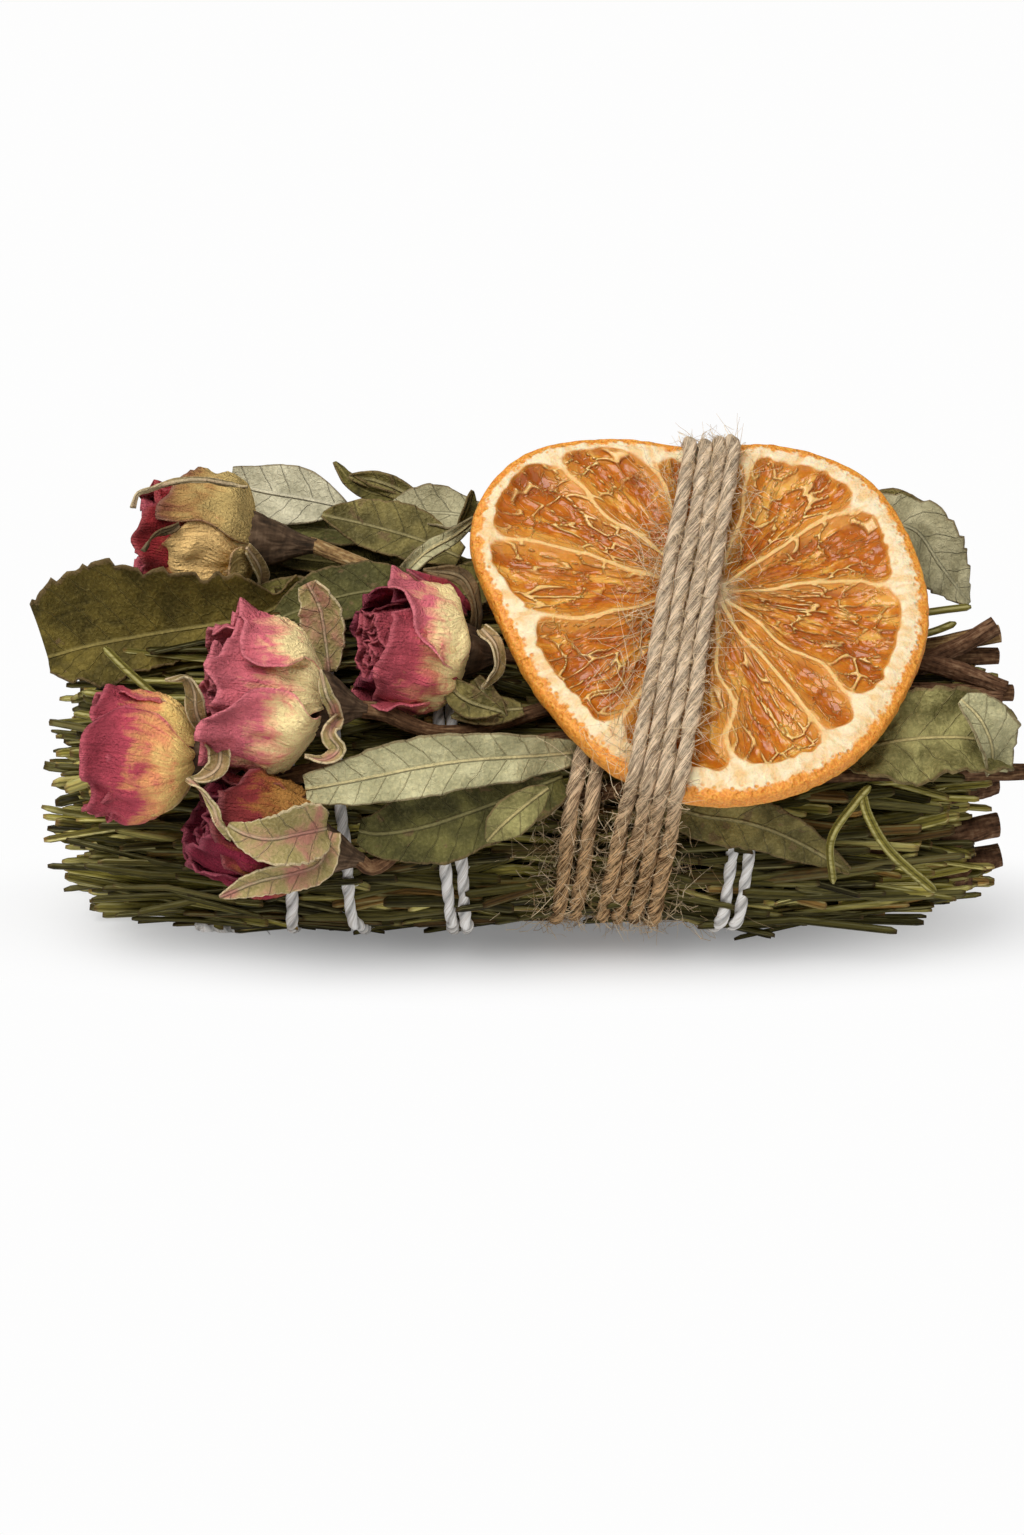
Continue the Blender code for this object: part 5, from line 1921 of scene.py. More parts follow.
@dataclass(frozen=True)
class Blade:
    """A thin dried leaf or sepal: a sheet folded and curled about its midrib.

    raised and rolled give, for the left and the right half as seen along the spine, how far
    it lifts from its face at the midrib and how much further by its edge, in degrees;
    lopsided how much wider the right half is, and swell how late it widens.
    """

    name: str
    spine: tuple[Point, ...]
    face: Point
    half_width: float
    raised: Pair = (5, 5)
    rolled: Pair = (10, 10)
    base: float = 0.15
    tip: float = 0.1
    fullest: float = 0.5
    teeth: float = 1.6
    tooth: float = 0.05
    waves: float = 0.7
    wrinkle: float = 0.28
    twist: float = 0.0
    lopsided: float = 0.0
    swell: float = 0.9
    thickness: float = 0.3
    look: LeafLook = LeafLook.OLIVE
    node: str | None = None
    seed: int = 0

    def width_at(self, t: Array) -> Array:
        """Half width a share t of the way from base to tip."""
        rising = blend(self.base, 1.0, np.sin(math.pi / 2 * np.minimum(t / self.fullest, 1)) ** self.swell)
        past = np.clip((t - self.fullest) / (1 - self.fullest), 0.0, 1.0)
        falling = blend(self.tip, 1.0, np.abs(np.cos(math.pi / 2 * past)) ** 0.9)
        return self.half_width * np.where(t < self.fullest, rising, falling)

    def surface(self) -> tuple[Array, Array]:
        """The blade's middle surface.

        Returns:
            Its rows of points, and for its finish how far along, across and towards its
            edge each of them is.
        """
        path = evenly(smooth_path(self.spine, 8), BLADE_STEP)
        columns = int(np.clip(round(self.half_width / BLADE_COLUMN), 5, 14))
        share = np.linspace(0.0, 1.0, len(path))
        reached = distances(path)
        along = unit(np.gradient(path, axis=0))
        normal = unit(np.array(self.face) - along * (along @ np.array(self.face))[:, None])
        turn = (np.radians(self.twist) * share)[:, None]
        left, cosine, sine = np.cross(normal, along), np.cos(turn), np.sin(turn)
        normal, left = normal * cosine + left * sine, left * cosine - normal * sine
        width = self.width_at(share)
        halves = []
        for sign, raised, rolled in zip((1, -1), self.raised, self.rolled):
            notch = (reached * self.teeth / 4.0 + 0.35 * sign) % 1.0
            ragged = noise_at(4, reached * 0.55, sign * 9.0, self.seed)
            edge = width * (1.0 - self.lopsided * sign) * (1.0 - self.tooth * notch + 0.05 * ragged)
            step = (edge / columns)[:, None]
            point, half = path.copy(), []
            for k in range(columns):
                angle = math.radians(raised + rolled * (k + 0.5) / columns)
                point = point + (left * sign * math.cos(angle) + normal * math.sin(angle)) * step
                half.append(point)
            halves.append(np.stack(half, axis=1))
        points = np.concatenate((halves[0][:, ::-1], path[:, None], halves[1]), axis=1)
        v = np.linspace(1.0, -1.0, 2 * columns + 1)[None]
        across = v * width[:, None]
        place = stacked(reached[:, None] * 0.3, across * 0.3, float(self.seed))
        crumple = self.wrinkle * rough_noise(place, 12) * np.minimum(1.0, np.abs(v) * 2.5)
        ruffle = self.waves * v**2 * noise_at(13, reached[:, None] * 0.26, np.sign(v) * 5, self.seed)
        points = points + normal[:, None] * (crumple + ruffle)[..., None]
        return points, stacked(reached[:, None], across, np.abs(v))

    def build(self, slot: str, rose: str = "") -> None:
        """Builds and settles the blade.

        Args:
            slot: The record's material slot; not used.
            rose: What its name starts with, where it belongs to a rose.
        """
        points, leaf = self.surface()
        piece = Mesh.thickened(
            Mesh.grid(rose + self.name, points, attributes={"leaf": leaf}), self.thickness
        )
        settle(piece, self.look.material, [self.node] if self.node else [])


# ---- roses


@dataclass(frozen=True)
class Petal:
    """One petal of a bud.

    middle and spread say where it wraps the bud and how far, in degrees from the back
    through the top; start and end how far along the bud it reaches, as shares; layer how
    far it lies out of the heart, curl how far its free rim turns out, and dome how far its
    sides lie in, in millimetres; slant how much further its far side reaches, and foot how
    wide it starts, as shares.
    """

    middle: float
    spread: float
    end: float = 0.97
    start: float = 0.0
    layer: float = 0.4
    curl: float = 0.5
    tightness: float = 1.0
    pointed: float = 0.16
    look: PetalLook | None = None
    node: str = ""
    dome: float = 0.0
    slant: float = 0.0
    foot: float = 0.5


# How many degrees of a petal one column of its mesh spans, and how thick petals are, in millimetres.
PETAL_COLUMN = 4.4
PETAL_THICKNESS = 0.26

# The petals at the middle of every rose, and the outline of a rose that stays wide to its tip.
HEART = (
    Petal(20, 330, 0.9, 0.5, -0.1, 0.1, 0.3, 0.05),
    Petal(200, 230, 0.95, 0.4, -0.1, 0.2, 0.5, 0.08),
    Petal(80, 220, 0.96, 0.3, -0.2, 0.3, 0.7, 0.1),
    Petal(300, 210, 0.97, 0.2, -0.2, 0.5, 0.86, 0.12),
)
BLUNT = (
    (0, 0.34), (0.07, 0.62), (0.2, 0.86), (0.42, 0.98), (0.65, 1), (0.85, 0.96), (1, 0.88), (1.2, 0.84)
)


@dataclass
class Rose:
    """A dried rosebud: petals wrapped round its heart, its hip, sepals and stem."""

    name: str
    tip: Point
    base: Point
    radius: float
    petals: tuple[Petal, ...]
    stem_route: tuple[Point, ...]
    look: PetalLook
    sepals: tuple[Blade, ...] = ()
    hip_length: float = 5.0
    hip_radius: float = 0.5
    stem_radius: float = 1.15
    stem_look: BarkLook = BarkLook.DARK
    fold_height: float = 1.15
    crease_height: float = 0.4
    crisp_height: float = 0.16
    ruffle_height: float = 1.2
    petal_rows: int = 27
    hip_around: int = 28
    stem_around: int = 14
    stem_step: float = 0.8
    seed: int = 0
    profile: tuple[Pair, ...] = (
        (0.0, 0.34), (0.07, 0.62), (0.2, 0.88), (0.42, 1.0), (0.65, 0.98), (0.85, 0.86), (1.0, 0.7),
        (1.2, 0.62)
    )

    def __post_init__(self) -> None:
        """Works out the bud's own axes."""
        self.origin = np.array(self.base)
        axis = np.array(self.tip) - self.origin
        self.length = float(np.linalg.norm(axis))
        self.axis = axis / self.length
        self.side = unit(np.cross(self.axis, (0.0, 0.0, 1.0)))
        self.top = np.cross(self.side, self.axis)

    def at(self, along: Array, radius: Array, around: Array) -> Array:
        """Points along the bud's axis, that far from it, at that angle round it."""
        along, radius, around = np.broadcast_arrays(along, radius, around)
        outward = self.side * np.cos(around)[..., None] + self.top * np.sin(around)[..., None]
        return self.origin + self.axis * along[..., None] + outward * radius[..., None]

    def petal(self, number: int, petal: Petal) -> None:
        """Builds and settles one petal.

        Args:
            number: Its number among the rose's petals.
            petal: Its place and shape.
        """
        columns = int(np.clip(petal.spread / PETAL_COLUMN, 21, 50))
        t = np.linspace(0.0, 1.0, self.petal_rows)[:, None]
        v = np.linspace(-1.0, 1.0, columns)[None]
        seed = self.seed * 31 + number * 7
        nicks = noise_at(3, v * 2.6, seed)
        reach = 1.0 - petal.pointed * np.abs(v) ** 2.6 + petal.slant * v + 0.08 * nicks
        share = petal.start + (petal.end - petal.start) * t * reach
        half = math.radians(petal.spread) / 2
        width = half * blend(petal.foot, 1.0, ease(0.0, 0.55, t)) * (1 - 0.1 * t**5)
        sway = 0.07 * noise_at(5, t * 2.0, seed, 4.0)
        around = math.radians(petal.middle) + (width * v + sway)
        known = np.array(self.profile)
        body = np.interp(share, known[:, 0], known[:, 1]) * self.radius * petal.tightness
        arc, along = around * self.radius, share * self.length
        folds = 0.6 - 2.0 * np.abs(rough_noise(stacked(arc * 0.26, along * 0.15, seed), 7))
        creases = 0.5 - 2.0 * np.abs(noise_at(8, arc * 0.8, along * 0.2, seed))
        crisp = noise_at(11, arc * 1.9, along * 0.5, seed)
        rim = ease(0.7, 1.0, t)
        ruffle = noise_at(9, arc * 0.55, seed, 2.0) * rim
        lifted = petal.layer * ease(0.0, 0.35, t) + petal.curl * ease(0.68, 1.05, t) ** 1.5
        lifted = lifted + 0.35 * np.abs(v) ** 5 * ease(0.1, 0.6, t) - petal.dome * (np.abs(v) ** 3 + t**6)
        height = lifted + self.fold_height * folds * ease(0.0, 0.4, t) + self.crease_height * creases
        height = height + self.crisp_height * crisp + self.ruffle_height * ruffle
        lean = 0.5 * noise_at(10, arc * 0.35, seed, 8.0) * rim
        points = self.at(along + lean, body + height, around)
        looks = {"petal": stacked(share, v * half, np.maximum(v**2, t))}
        piece = Mesh.grid(f"{self.name}_petal_{number:02d}", points, attributes=looks)
        piece = Mesh.thickened(piece, PETAL_THICKNESS)
        nodes = [f"{self.name}_{petal.node}"] if petal.node else []
        settle(piece, (petal.look or self.look).material, nodes)

    def hip(self) -> Object:
        """The swollen hip under the petals, and the cup that holds them."""
        neck, full, length = 1.3, self.hip_radius * self.radius, self.hip_length
        swelling = ((-length * 0.66, blend(neck, full, 0.35)), (-length * 0.3, blend(neck, full, 0.8)))
        cup = ((0.0, full * 1.05), (1.2, full * 1.1), (1.8, full * 0.8))
        rows = ((-length - 1.0, 1.15), (-length, neck), *swelling, *cup)
        smooth = smooth_path([(along, radius, 0.0) for along, radius in rows], 5)
        angle = ring_angles(self.hip_around)
        ribs = noise_at(self.seed, np.cos(angle) * 3, np.sin(angle) * 3, smooth[:, :1] * 0.3)
        radius = smooth[:, 1:2] * (1.0 + 0.12 * ribs)
        grain = stacked(np.cos(angle)[None], np.sin(angle)[None], smooth[:, :1])
        points = self.at(smooth[:, :1], radius, angle[None])
        return Mesh.solid(f"{self.name}_hip", points, grain=grain, cut=np.zeros(points.shape[:2]))

    def stem(self) -> Object:
        """The stem, from the hip along the bundle to its cut end."""
        route = [self.origin - self.axis * (self.hip_length + 0.4), self.origin - self.axis * 8.5]
        route += [CORE.section(x, math.radians(degrees), lift) for x, degrees, lift in self.stem_route]
        path = evenly(smooth_path(np.array(route), 6), self.stem_step)
        angle = ring_angles(self.stem_around)
        reached = distances(path)[:, None]
        ridges = noise_at(1, np.cos(angle) * 1.6, np.sin(angle) * 1.6, reached * 0.06 + self.seed)
        knots = noise_at(2, reached * 0.2, self.seed)
        radius = self.stem_radius * (1.0 + 0.16 * ridges + 0.12 * knots)
        return cut_tube(f"{self.name}_twig", path, radius, self.stem_around)

    def build(self) -> None:
        """Builds and settles all the rose's pieces."""
        for number, petal in enumerate((*HEART, *self.petals), 1):
            self.petal(number, petal)
        settle(self.hip(), BarkLook.HIP.material, [f"{self.name}_calyx"])
        settle(self.stem(), self.stem_look.material, [f"{self.name}_stem"])
        for blade in self.sepals:
            blade.build("calyx", f"{self.name}_")


def roses() -> list[Rose]:
    """The five roses, back one first."""
    high, low = 3.9, 1.65
    back = Rose(
        "rose_back", tip=(-55, 12.5, 56.2), base=(-37, 12, 54.8), radius=7, look=PetalLook.MAGENTA, seed=1,
        stem_look=BarkLook.TAN,
        petals=(
            Petal(60, 170, 0.96, layer=0.3, curl=0.8, look=PetalLook.WINE, node="bud"),
            Petal(170, 150, 0.97, layer=0.4, curl=0.9, look=PetalLook.WINE),
            Petal(285, 170, 0.95, layer=0.5, curl=0.8, look=PetalLook.WINE),
            Petal(
                207, 126, 0.8, 0.1, 1.6, -0.3, pointed=0.34, look=PetalLook.CREAM, node="petal_front",
                dome=0.5
            ),
            Petal(232, 130, 0.22, layer=2.6, curl=1.4, pointed=-0.1, look=PetalLook.KHAKI, slant=0.25),
            Petal(
                100, 100, 0.66, layer=2.5, curl=0.2, look=PetalLook.KHAKI, node="petal_back", slant=0.35,
                foot=1.3
            ),
        ),
        stem_route=(
            (-18, 84, 11), (0, 84, 5.2), (14, 84, high), (36, 84, high), (46, 84, low), (56, 88, 1.4),
            (70.2, 93, 7.2)
        ),
        hip_length=7.5, hip_radius=0.56,
        sepals=(
            Blade(
                "sepal_01",
                ((-38.2, 6, 65.1), (-44.7, 3, 67.3), (-50.5, 2, 66.6), (-53.3, 1, 66.1), (-54.2, 1, 63.7)),
                (0, -0.5, 1), 0.45, look=LeafLook.SEPAL_TAN, twist=140, base=0.7, seed=1
            ),
            Blade(
                "sepal_03", ((-47.9, 4, 60.2), (-50.6, 3, 59.2), (-52, 3, 58.2), (-53.4, 3.6, 56.4)),
                (0.2, -1, 0.2), 0.8, look=LeafLook.BROWN, twist=120, base=0.4, seed=14
            ),
            Blade(
                "sepal_02", ((-38.3, 4, 56.6), (-36.7, 6, 53), (-37.1, 8, 49.6), (-40.3, 7, 49.2)),
                (1, -0.5, 0), 1.5, look=LeafLook.SEPAL_TAN, rolled=(30, 30), base=0.6, seed=2
            ),
        )
    )
    right = Rose(
        "rose_right", tip=(-21, -17.4, 50.2), base=(-6.8, -13, 47), radius=7.4, look=PetalLook.MAGENTA,
        seed=2,
        petals=(
            Petal(30, 160, 0.98, layer=0.3, curl=0.9, look=PetalLook.CRIMSON, node="bud"),
            Petal(250, 160, 0.96, layer=0.4, curl=0.8, look=PetalLook.CRIMSON),
            Petal(195, 140, 1, layer=1.5, curl=0.6, look=PetalLook.MAGENTA, node="petal_front"),
            Petal(106, 150, 0.88, layer=2.2, curl=1, pointed=0.5, look=PetalLook.PINK, node="petal_back"),
            Petal(262, 95, 0.98, 0.1, layer=1.6, curl=1.8, look=PetalLook.MAGENTA),
        ),
        stem_route=((10, 103, high), (36, 102, high), (46, 101, low), (58, 98, 2.4), (70, 95, 4)),
        sepals=(
            Blade(
                "strip", ((-6.4, -10, 52), (-8.8, -12, 55.4), (-11.7, -14, 57.6), (-14.7, -15, 59.9)),
                (0, -0.8, 0.5), 1.9, raised=(25, 30), rolled=(40, 20), look=LeafLook.STRIP, base=0.5, seed=3
            ),
            Blade(
                "sepal_01", ((-6, -10, 46), (-5.2, -10.5, 52), (-7, -10.5, 57.2), (-12.5, -11.5, 58.7)),
                (0.8, -0.8, 0.2), 1.6, look=LeafLook.BROWN, rolled=(30, 20), base=0.5, seed=4
            ),
            Blade(
                "sepal_02",
                ((-4.2, -16, 51.5), (-2.4, -18.5, 50), (-2.2, -19.5, 46.9), (-4.4, -20.5, 44.4)),
                (0.3, -1, 0.1), 1.7, look=LeafLook.SEPAL_TAN, rolled=(40, 50), twist=70, base=0.5, seed=5
            ),
            Blade(
                "sepal_03", ((-5.2, -18, 44.8), (-3.5, -19.5, 42.6), (-0.8, -20.8, 40.2)), (0, -1, 0.4),
                1.8, look=LeafLook.OLIVE, rolled=(30, 20), base=0.5, seed=6
            ),
        )
    )
    middle = Rose(
        "rose_middle", tip=(-43.2, -24.8, 46.4), base=(-26.2, -23, 43), radius=8.4, look=PetalLook.PINK,
        seed=3, profile=BLUNT,
        petals=(
            Petal(20, 160, 0.96, layer=0.2, curl=0.5, node="bud"),
            Petal(270, 150, 0.95, layer=0.3, curl=0.4, look=PetalLook.MAGENTA),
            Petal(140, 120, 0.97, layer=0.6, curl=0.5, look=PetalLook.PINK),
            Petal(
                212, 122, 0.98, layer=2.2, curl=0.7, pointed=0.34, look=PetalLook.PINK, node="petal_front"
            ),
            Petal(
                78, 126, 0.8, 0.08, layer=2.2, curl=1.2, pointed=0.08, look=PetalLook.PINK,
                node="petal_back"
            ),
        ),
        stem_route=((-8, 140, high), (12, 124, high), (36, 120, high), (46, 118, low), (71.5, 114, 2.6)),
        sepals=(
            Blade(
                "sepal_01",
                ((-24.4, -27, 42.1), (-24.9, -29, 45.1), (-25.6, -30, 47.2), (-26.3, -29, 50.4)),
                (0.5, -1, 0.1), 1.1, look=LeafLook.SEPAL_PALE, rolled=(40, 30), twist=50, base=0.6, seed=7
            ),
            Blade(
                "sepal_02",
                (
                    (-24.4, -27.5, 42.6), (-25.2, -30.5, 41.4), (-23.9, -31.5, 39.6), (-25.9, -32.5, 38.3),
                    (-28.6, -33, 39)
                ),
                (0.4, -1, 0.2), 1.4, look=LeafLook.SEPAL_PALE, rolled=(40, 40), twist=-70, base=0.5, seed=8
            ),
        )
    )
    left = Rose(
        "rose_left", tip=(-57.8, -29.4, 38.4), base=(-43.8, -27.8, 37.3), radius=7.6,
        look=PetalLook.MAGENTA, seed=4, profile=BLUNT,
        petals=(
            Petal(20, 160, 0.97, layer=0.2, curl=0.5, node="bud"),
            Petal(290, 150, 0.97, layer=0.4, curl=0.4, look=PetalLook.ORANGE),
            Petal(110, 120, 1.02, layer=0.7, curl=0.4, look=PetalLook.ORANGE, node="petal_back"),
            Petal(243, 110, 1.02, layer=0.8, curl=0.6, look=PetalLook.MAGENTA),
            Petal(
                180, 126, 1.12, layer=1.7, curl=0.3, pointed=0.1, look=PetalLook.ORANGE, node="petal_front"
            ),
        ),
        stem_route=(
            (-36, 156, 3.5), (-26, 153, high), (-8, 149, high), (14, 139, high), (36, 137, high),
            (46, 134, low), (71, 131, low)
        ),
        sepals=(
            Blade(
                "sepal_01",
                (
                    (-42.6, -30, 41.5), (-43.5, -31, 45), (-43.6, -31.5, 48.2), (-44.7, -31.5, 50.4),
                    (-47.6, -31, 49.7)
                ),
                (0.3, -1, 0.1), 1.7, look=LeafLook.SEPAL_TAN, rolled=(50, 40), twist=60, base=0.6, seed=9
            ),
            Blade(
                "sepal_02",
                (
                    (-42.7, -29, 41.5), (-40.4, -32.5, 40.3), (-40.4, -35, 38.3), (-42.5, -36, 37),
                    (-44.8, -36, 36.9)
                ),
                (0.3, -1, 0.2), 1.7, look=LeafLook.SEPAL_TAN, rolled=(40, 50), twist=-60, base=0.6, seed=10
            ),
        )
    )
    front = Rose(
        "rose_low", tip=(-43.5, -35, 31), base=(-26.5, -31.8, 24.6), radius=7.3, look=PetalLook.CRIMSON,
        seed=5,
        petals=(
            Petal(20, 160, 0.96, layer=0.2, curl=0.4, look=PetalLook.RUST, node="bud"),
            Petal(150, 130, 0.92, layer=0.4, curl=0.3, look=PetalLook.RUST, node="petal_back"),
            Petal(285, 140, 0.97, layer=0.4, curl=0.4),
            Petal(225, 120, 1, layer=0.9, curl=0.4, look=PetalLook.CRIMSON, node="petal_front"),
        ),
        stem_route=((-10, 169, high), (14, 160, high), (36, 156, high), (46, 154, low), (74.5, 152, low)),
        sepals=(
            Blade(
                "sepal_01",
                (
                    (-25.6, -37, 30), (-29.5, -40.5, 30.6), (-33.1, -42.2, 30.6), (-36.3, -42, 31.2),
                    (-38.8, -41.2, 32.2)
                ),
                (0, -1, 0.35), 4.7, raised=(8, 20), rolled=(25, 15), look=LeafLook.SEPAL_PALE, base=0.55,
                tip=0.1, fullest=0.3, tooth=0.1, teeth=3, seed=11
            ),
            Blade(
                "sepal_02",
                (
                    (-25, -35, 28.6), (-26.5, -38.6, 25.6), (-30.1, -41.2, 25.1), (-34.9, -42.4, 24.4),
                    (-40.2, -41.6, 21.7)
                ),
                (0, -1, 0.1), 2.8, raised=(10, 20), rolled=(20, 30), look=LeafLook.SEPAL_PALE, base=0.5,
                fullest=0.45, tooth=0.1, teeth=3, seed=12
            ),
            Blade(
                "sepal_03",
                (
                    (-44.6, -36, 37), (-42.6, -39, 36.4), (-40.7, -41, 34.7), (-40.1, -42, 32.9),
                    (-38.2, -41.6, 30.7)
                ),
                (0.3, -1, 0.2), 0.7, look=LeafLook.SEPAL_PALE, twist=260, base=0.7, tip=0.7, seed=13
            ),
        )
    )
    return [back, right, middle, left, front]


# ---- leaves

# The finishes of leaves that are passed the record's pale slot, which the build does not use.
PALE_LOOKS = (LeafLook.ASH, LeafLook.GREY, LeafLook.PALE, LeafLook.SEPAL_PALE)


def leaf(name: str, *shape: Any, **details: Any) -> Blade:
    """A leaf that stands for the solid of the same name."""
    return Blade(
        f"leaf_{name}_blade", *shape, node=f"leaf_{name}", seed=len(name) * 3 + ord(name[0]), **details
    )


def leaves() -> list[Blade]:
    """The bundle's leaves, on the places that their solids have in the frame."""
    up, front = (0, -0.2, 1), (0, -1, 0.3)
    return [
        leaf(
            "cradle",
            (
                (-30, -1, 52.3), (-34.6, -3.5, 49.7), (-39.7, -5, 48.5), (-46.4, -6, 47.8),
                (-54.3, -7, 46.7), (-60.2, -7.5, 45.7), (-66.2, -8, 44.2)
            ),
            up, 10.6, raised=(-30, 70), rolled=(-12, 34), lopsided=0.38, swell=1.5, base=0.12, tip=0.62,
            fullest=0.8, teeth=1.1, tooth=0.1, waves=1.8, wrinkle=0.9, look=LeafLook.MOSS
        ),
        leaf(
            "pale_back", ((-24.3, 17, 58.4), (-31, 20, 58.8), (-36.9, 22, 59.2), (-41.7, 23.5, 60)),
            (0, -0.9, 0.45), 4.6, tip=0.5, tooth=0.02, look=LeafLook.ASH
        ),
        leaf(
            "dark_tip", ((-15.6, 16.8, 59.9), (-20.5, 18.5, 60.1), (-23.5, 20, 61.3), (-26.1, 22, 63.7)),
            front, 1.6, raised=(30, 30), rolled=(20, 20), look=LeafLook.DARK
        ),
        leaf(
            "olive", ((-7.5, 7.2, 54), (-13.3, 8.8, 56.1), (-20.6, 10, 57.9), (-27.6, 11, 59.2)),
            (0, -0.7, 0.7), 4.8, raised=(8, 8), rolled=(15, 10), base=0.4, look=LeafLook.OLIVE
        ),
        leaf(
            "curled", ((-4, 12.6, 57.6), (-8.3, 13.6, 58.4), (-14, 14.6, 58.4), (-20.2, 15.4, 58.4)),
            (0, -0.5, 0.8), 4, raised=(5, 5), rolled=(20, 25), base=0.5, fullest=0.4, waves=1.2,
            look=LeafLook.GREY
        ),
        leaf(
            "pale_rib", ((-16.5, 1.3, 52.6), (-12.5, 2.5, 56.4), (-8.5, 4.5, 58.2), (-5.5, 6.5, 60)), front,
            1.3, raised=(10, 10), base=0.8, tip=0.4, look=LeafLook.PALE
        ),
        leaf(
            "under_rose",
            (
                (-11.5, -1.5, 52.1), (-18.2, -3, 52.7), (-24.6, -3.5, 51.8), (-30.3, -4, 49.9),
                (-34.9, -4.5, 48.1)
            ),
            (0, -0.6, 0.8), 5, raised=(10, 10), rolled=(10, 15), base=0.4, look=LeafLook.GREEN
        ),
        leaf(
            "upright", ((-25.9, -13, 44), (-26.3, -12.2, 48), (-27.1, -11.5, 53), (-28.8, -11, 56.6)),
            front, 3.7, raised=(6, 18), rolled=(15, 25), base=0.35, tip=0.45, tooth=0.12, wrinkle=0.5,
            look=LeafLook.SEPAL_PALE
        ),
        leaf(
            "front_pale",
            (
                (9.1, -22.6, 35.6), (5, -26, 36.5), (0.4, -29, 37.4), (-5.8, -30.6, 37.6),
                (-12.7, -31, 36.7), (-19.7, -31.6, 35.4), (-25.2, -32.4, 34.6), (-28.6, -32.6, 34.1)
            ),
            front, 4.5, raised=(12, 12), rolled=(10, 15), base=0.35, tip=0.45, fullest=0.62, tooth=0.02,
            waves=1.1, look=LeafLook.PALE
        ),
        leaf(
            "front_green",
            (
                (7, -25.5, 33.1), (1.8, -28.8, 32.1), (-5.8, -30.2, 29.6), (-12.8, -30.2, 27.2),
                (-18.4, -29.9, 26.2), (-21.4, -29.8, 26.6)
            ),
            front, 5.9, raised=(5, -5), rolled=(15, 10), base=0.45, tip=0.3, fullest=0.6, tooth=0.03,
            waves=1.3, wrinkle=0.4, look=LeafLook.GREEN
        ),
        leaf(
            "beside_rose", ((1.5, -19.4, 40.8), (-2.5, -20.2, 40.7), (-8.5, -21.2, 40.2)), (0, -0.6, 0.8),
            2.6, base=0.5, look=LeafLook.OLIVE
        ),
        leaf(
            "back_right",
            (
                (38, 5.5, 47.7), (46, 8, 52.5), (53, 9, 58), (58.5, 10, 57.2), (62.5, 10.6, 51.5),
                (66.9, 11, 45.6)
            ),
            (0, -0.8, 0.6), 5.4, raised=(10, 10), rolled=(10, 20), base=0.3, tip=0.12, fullest=0.7,
            tooth=0.14, waves=1.2, wrinkle=0.4, look=LeafLook.GREY
        ),
        leaf(
            "right_curl",
            (
                (46, -19.5, 34), (51.7, -21.5, 36.3), (57.2, -22.4, 37.5), (62.8, -22.6, 37.7),
                (67.8, -22, 36.8), (70.4, -21.5, 36)
            ),
            (0, -0.8, 0.6), 7.2, raised=(-9, 10), rolled=(8, 14), base=0.15, tip=0.6, fullest=0.45,
            tooth=0.08, waves=3.2, wrinkle=1.8, look=LeafLook.SAGE
        ),
        leaf(
            "below_slice",
            (
                (20, -26, 29.7), (26.3, -27.2, 27.9), (32.6, -27.6, 27), (39, -27.2, 24.4),
                (47.4, -25.5, 18.8)
            ),
            front, 3.9, base=0.5, tip=0.1, fullest=0.4, waves=1.2, look=LeafLook.OLIVE
        ),
        leaf(
            "behind_left", ((-6, 26.2, 31.5), (-18, 26.2, 29.5), (-31, 26.2, 26.5), (-43, 25.6, 24)),
            (0, 1, 0.2), 6, raised=(3, 3), rolled=(0, 0), base=0.3, look=LeafLook.OLIVE
        ),
        leaf(
            "behind_right", ((39, 21.2, 33.5), (48, 21.3, 31), (57, 20.9, 27.5), (65, 20, 24)), (0, 1, 0.2),
            5.4, raised=(8, 8), rolled=(0, 0), base=0.3, look=LeafLook.GREEN
        ),
    ]


def loose(
    number: int, spine: tuple[Point, ...], face: Point, half_width: float, look: LeafLook, **details: Any
) -> Blade:
    """A leaf that only fills a gap."""
    shape = {"raised": (8, 12), "rolled": (15, 20), **details}
    return Blade(f"loose_leaf_{number:02d}", spine, face, half_width, look=look, seed=number * 5, **shape)


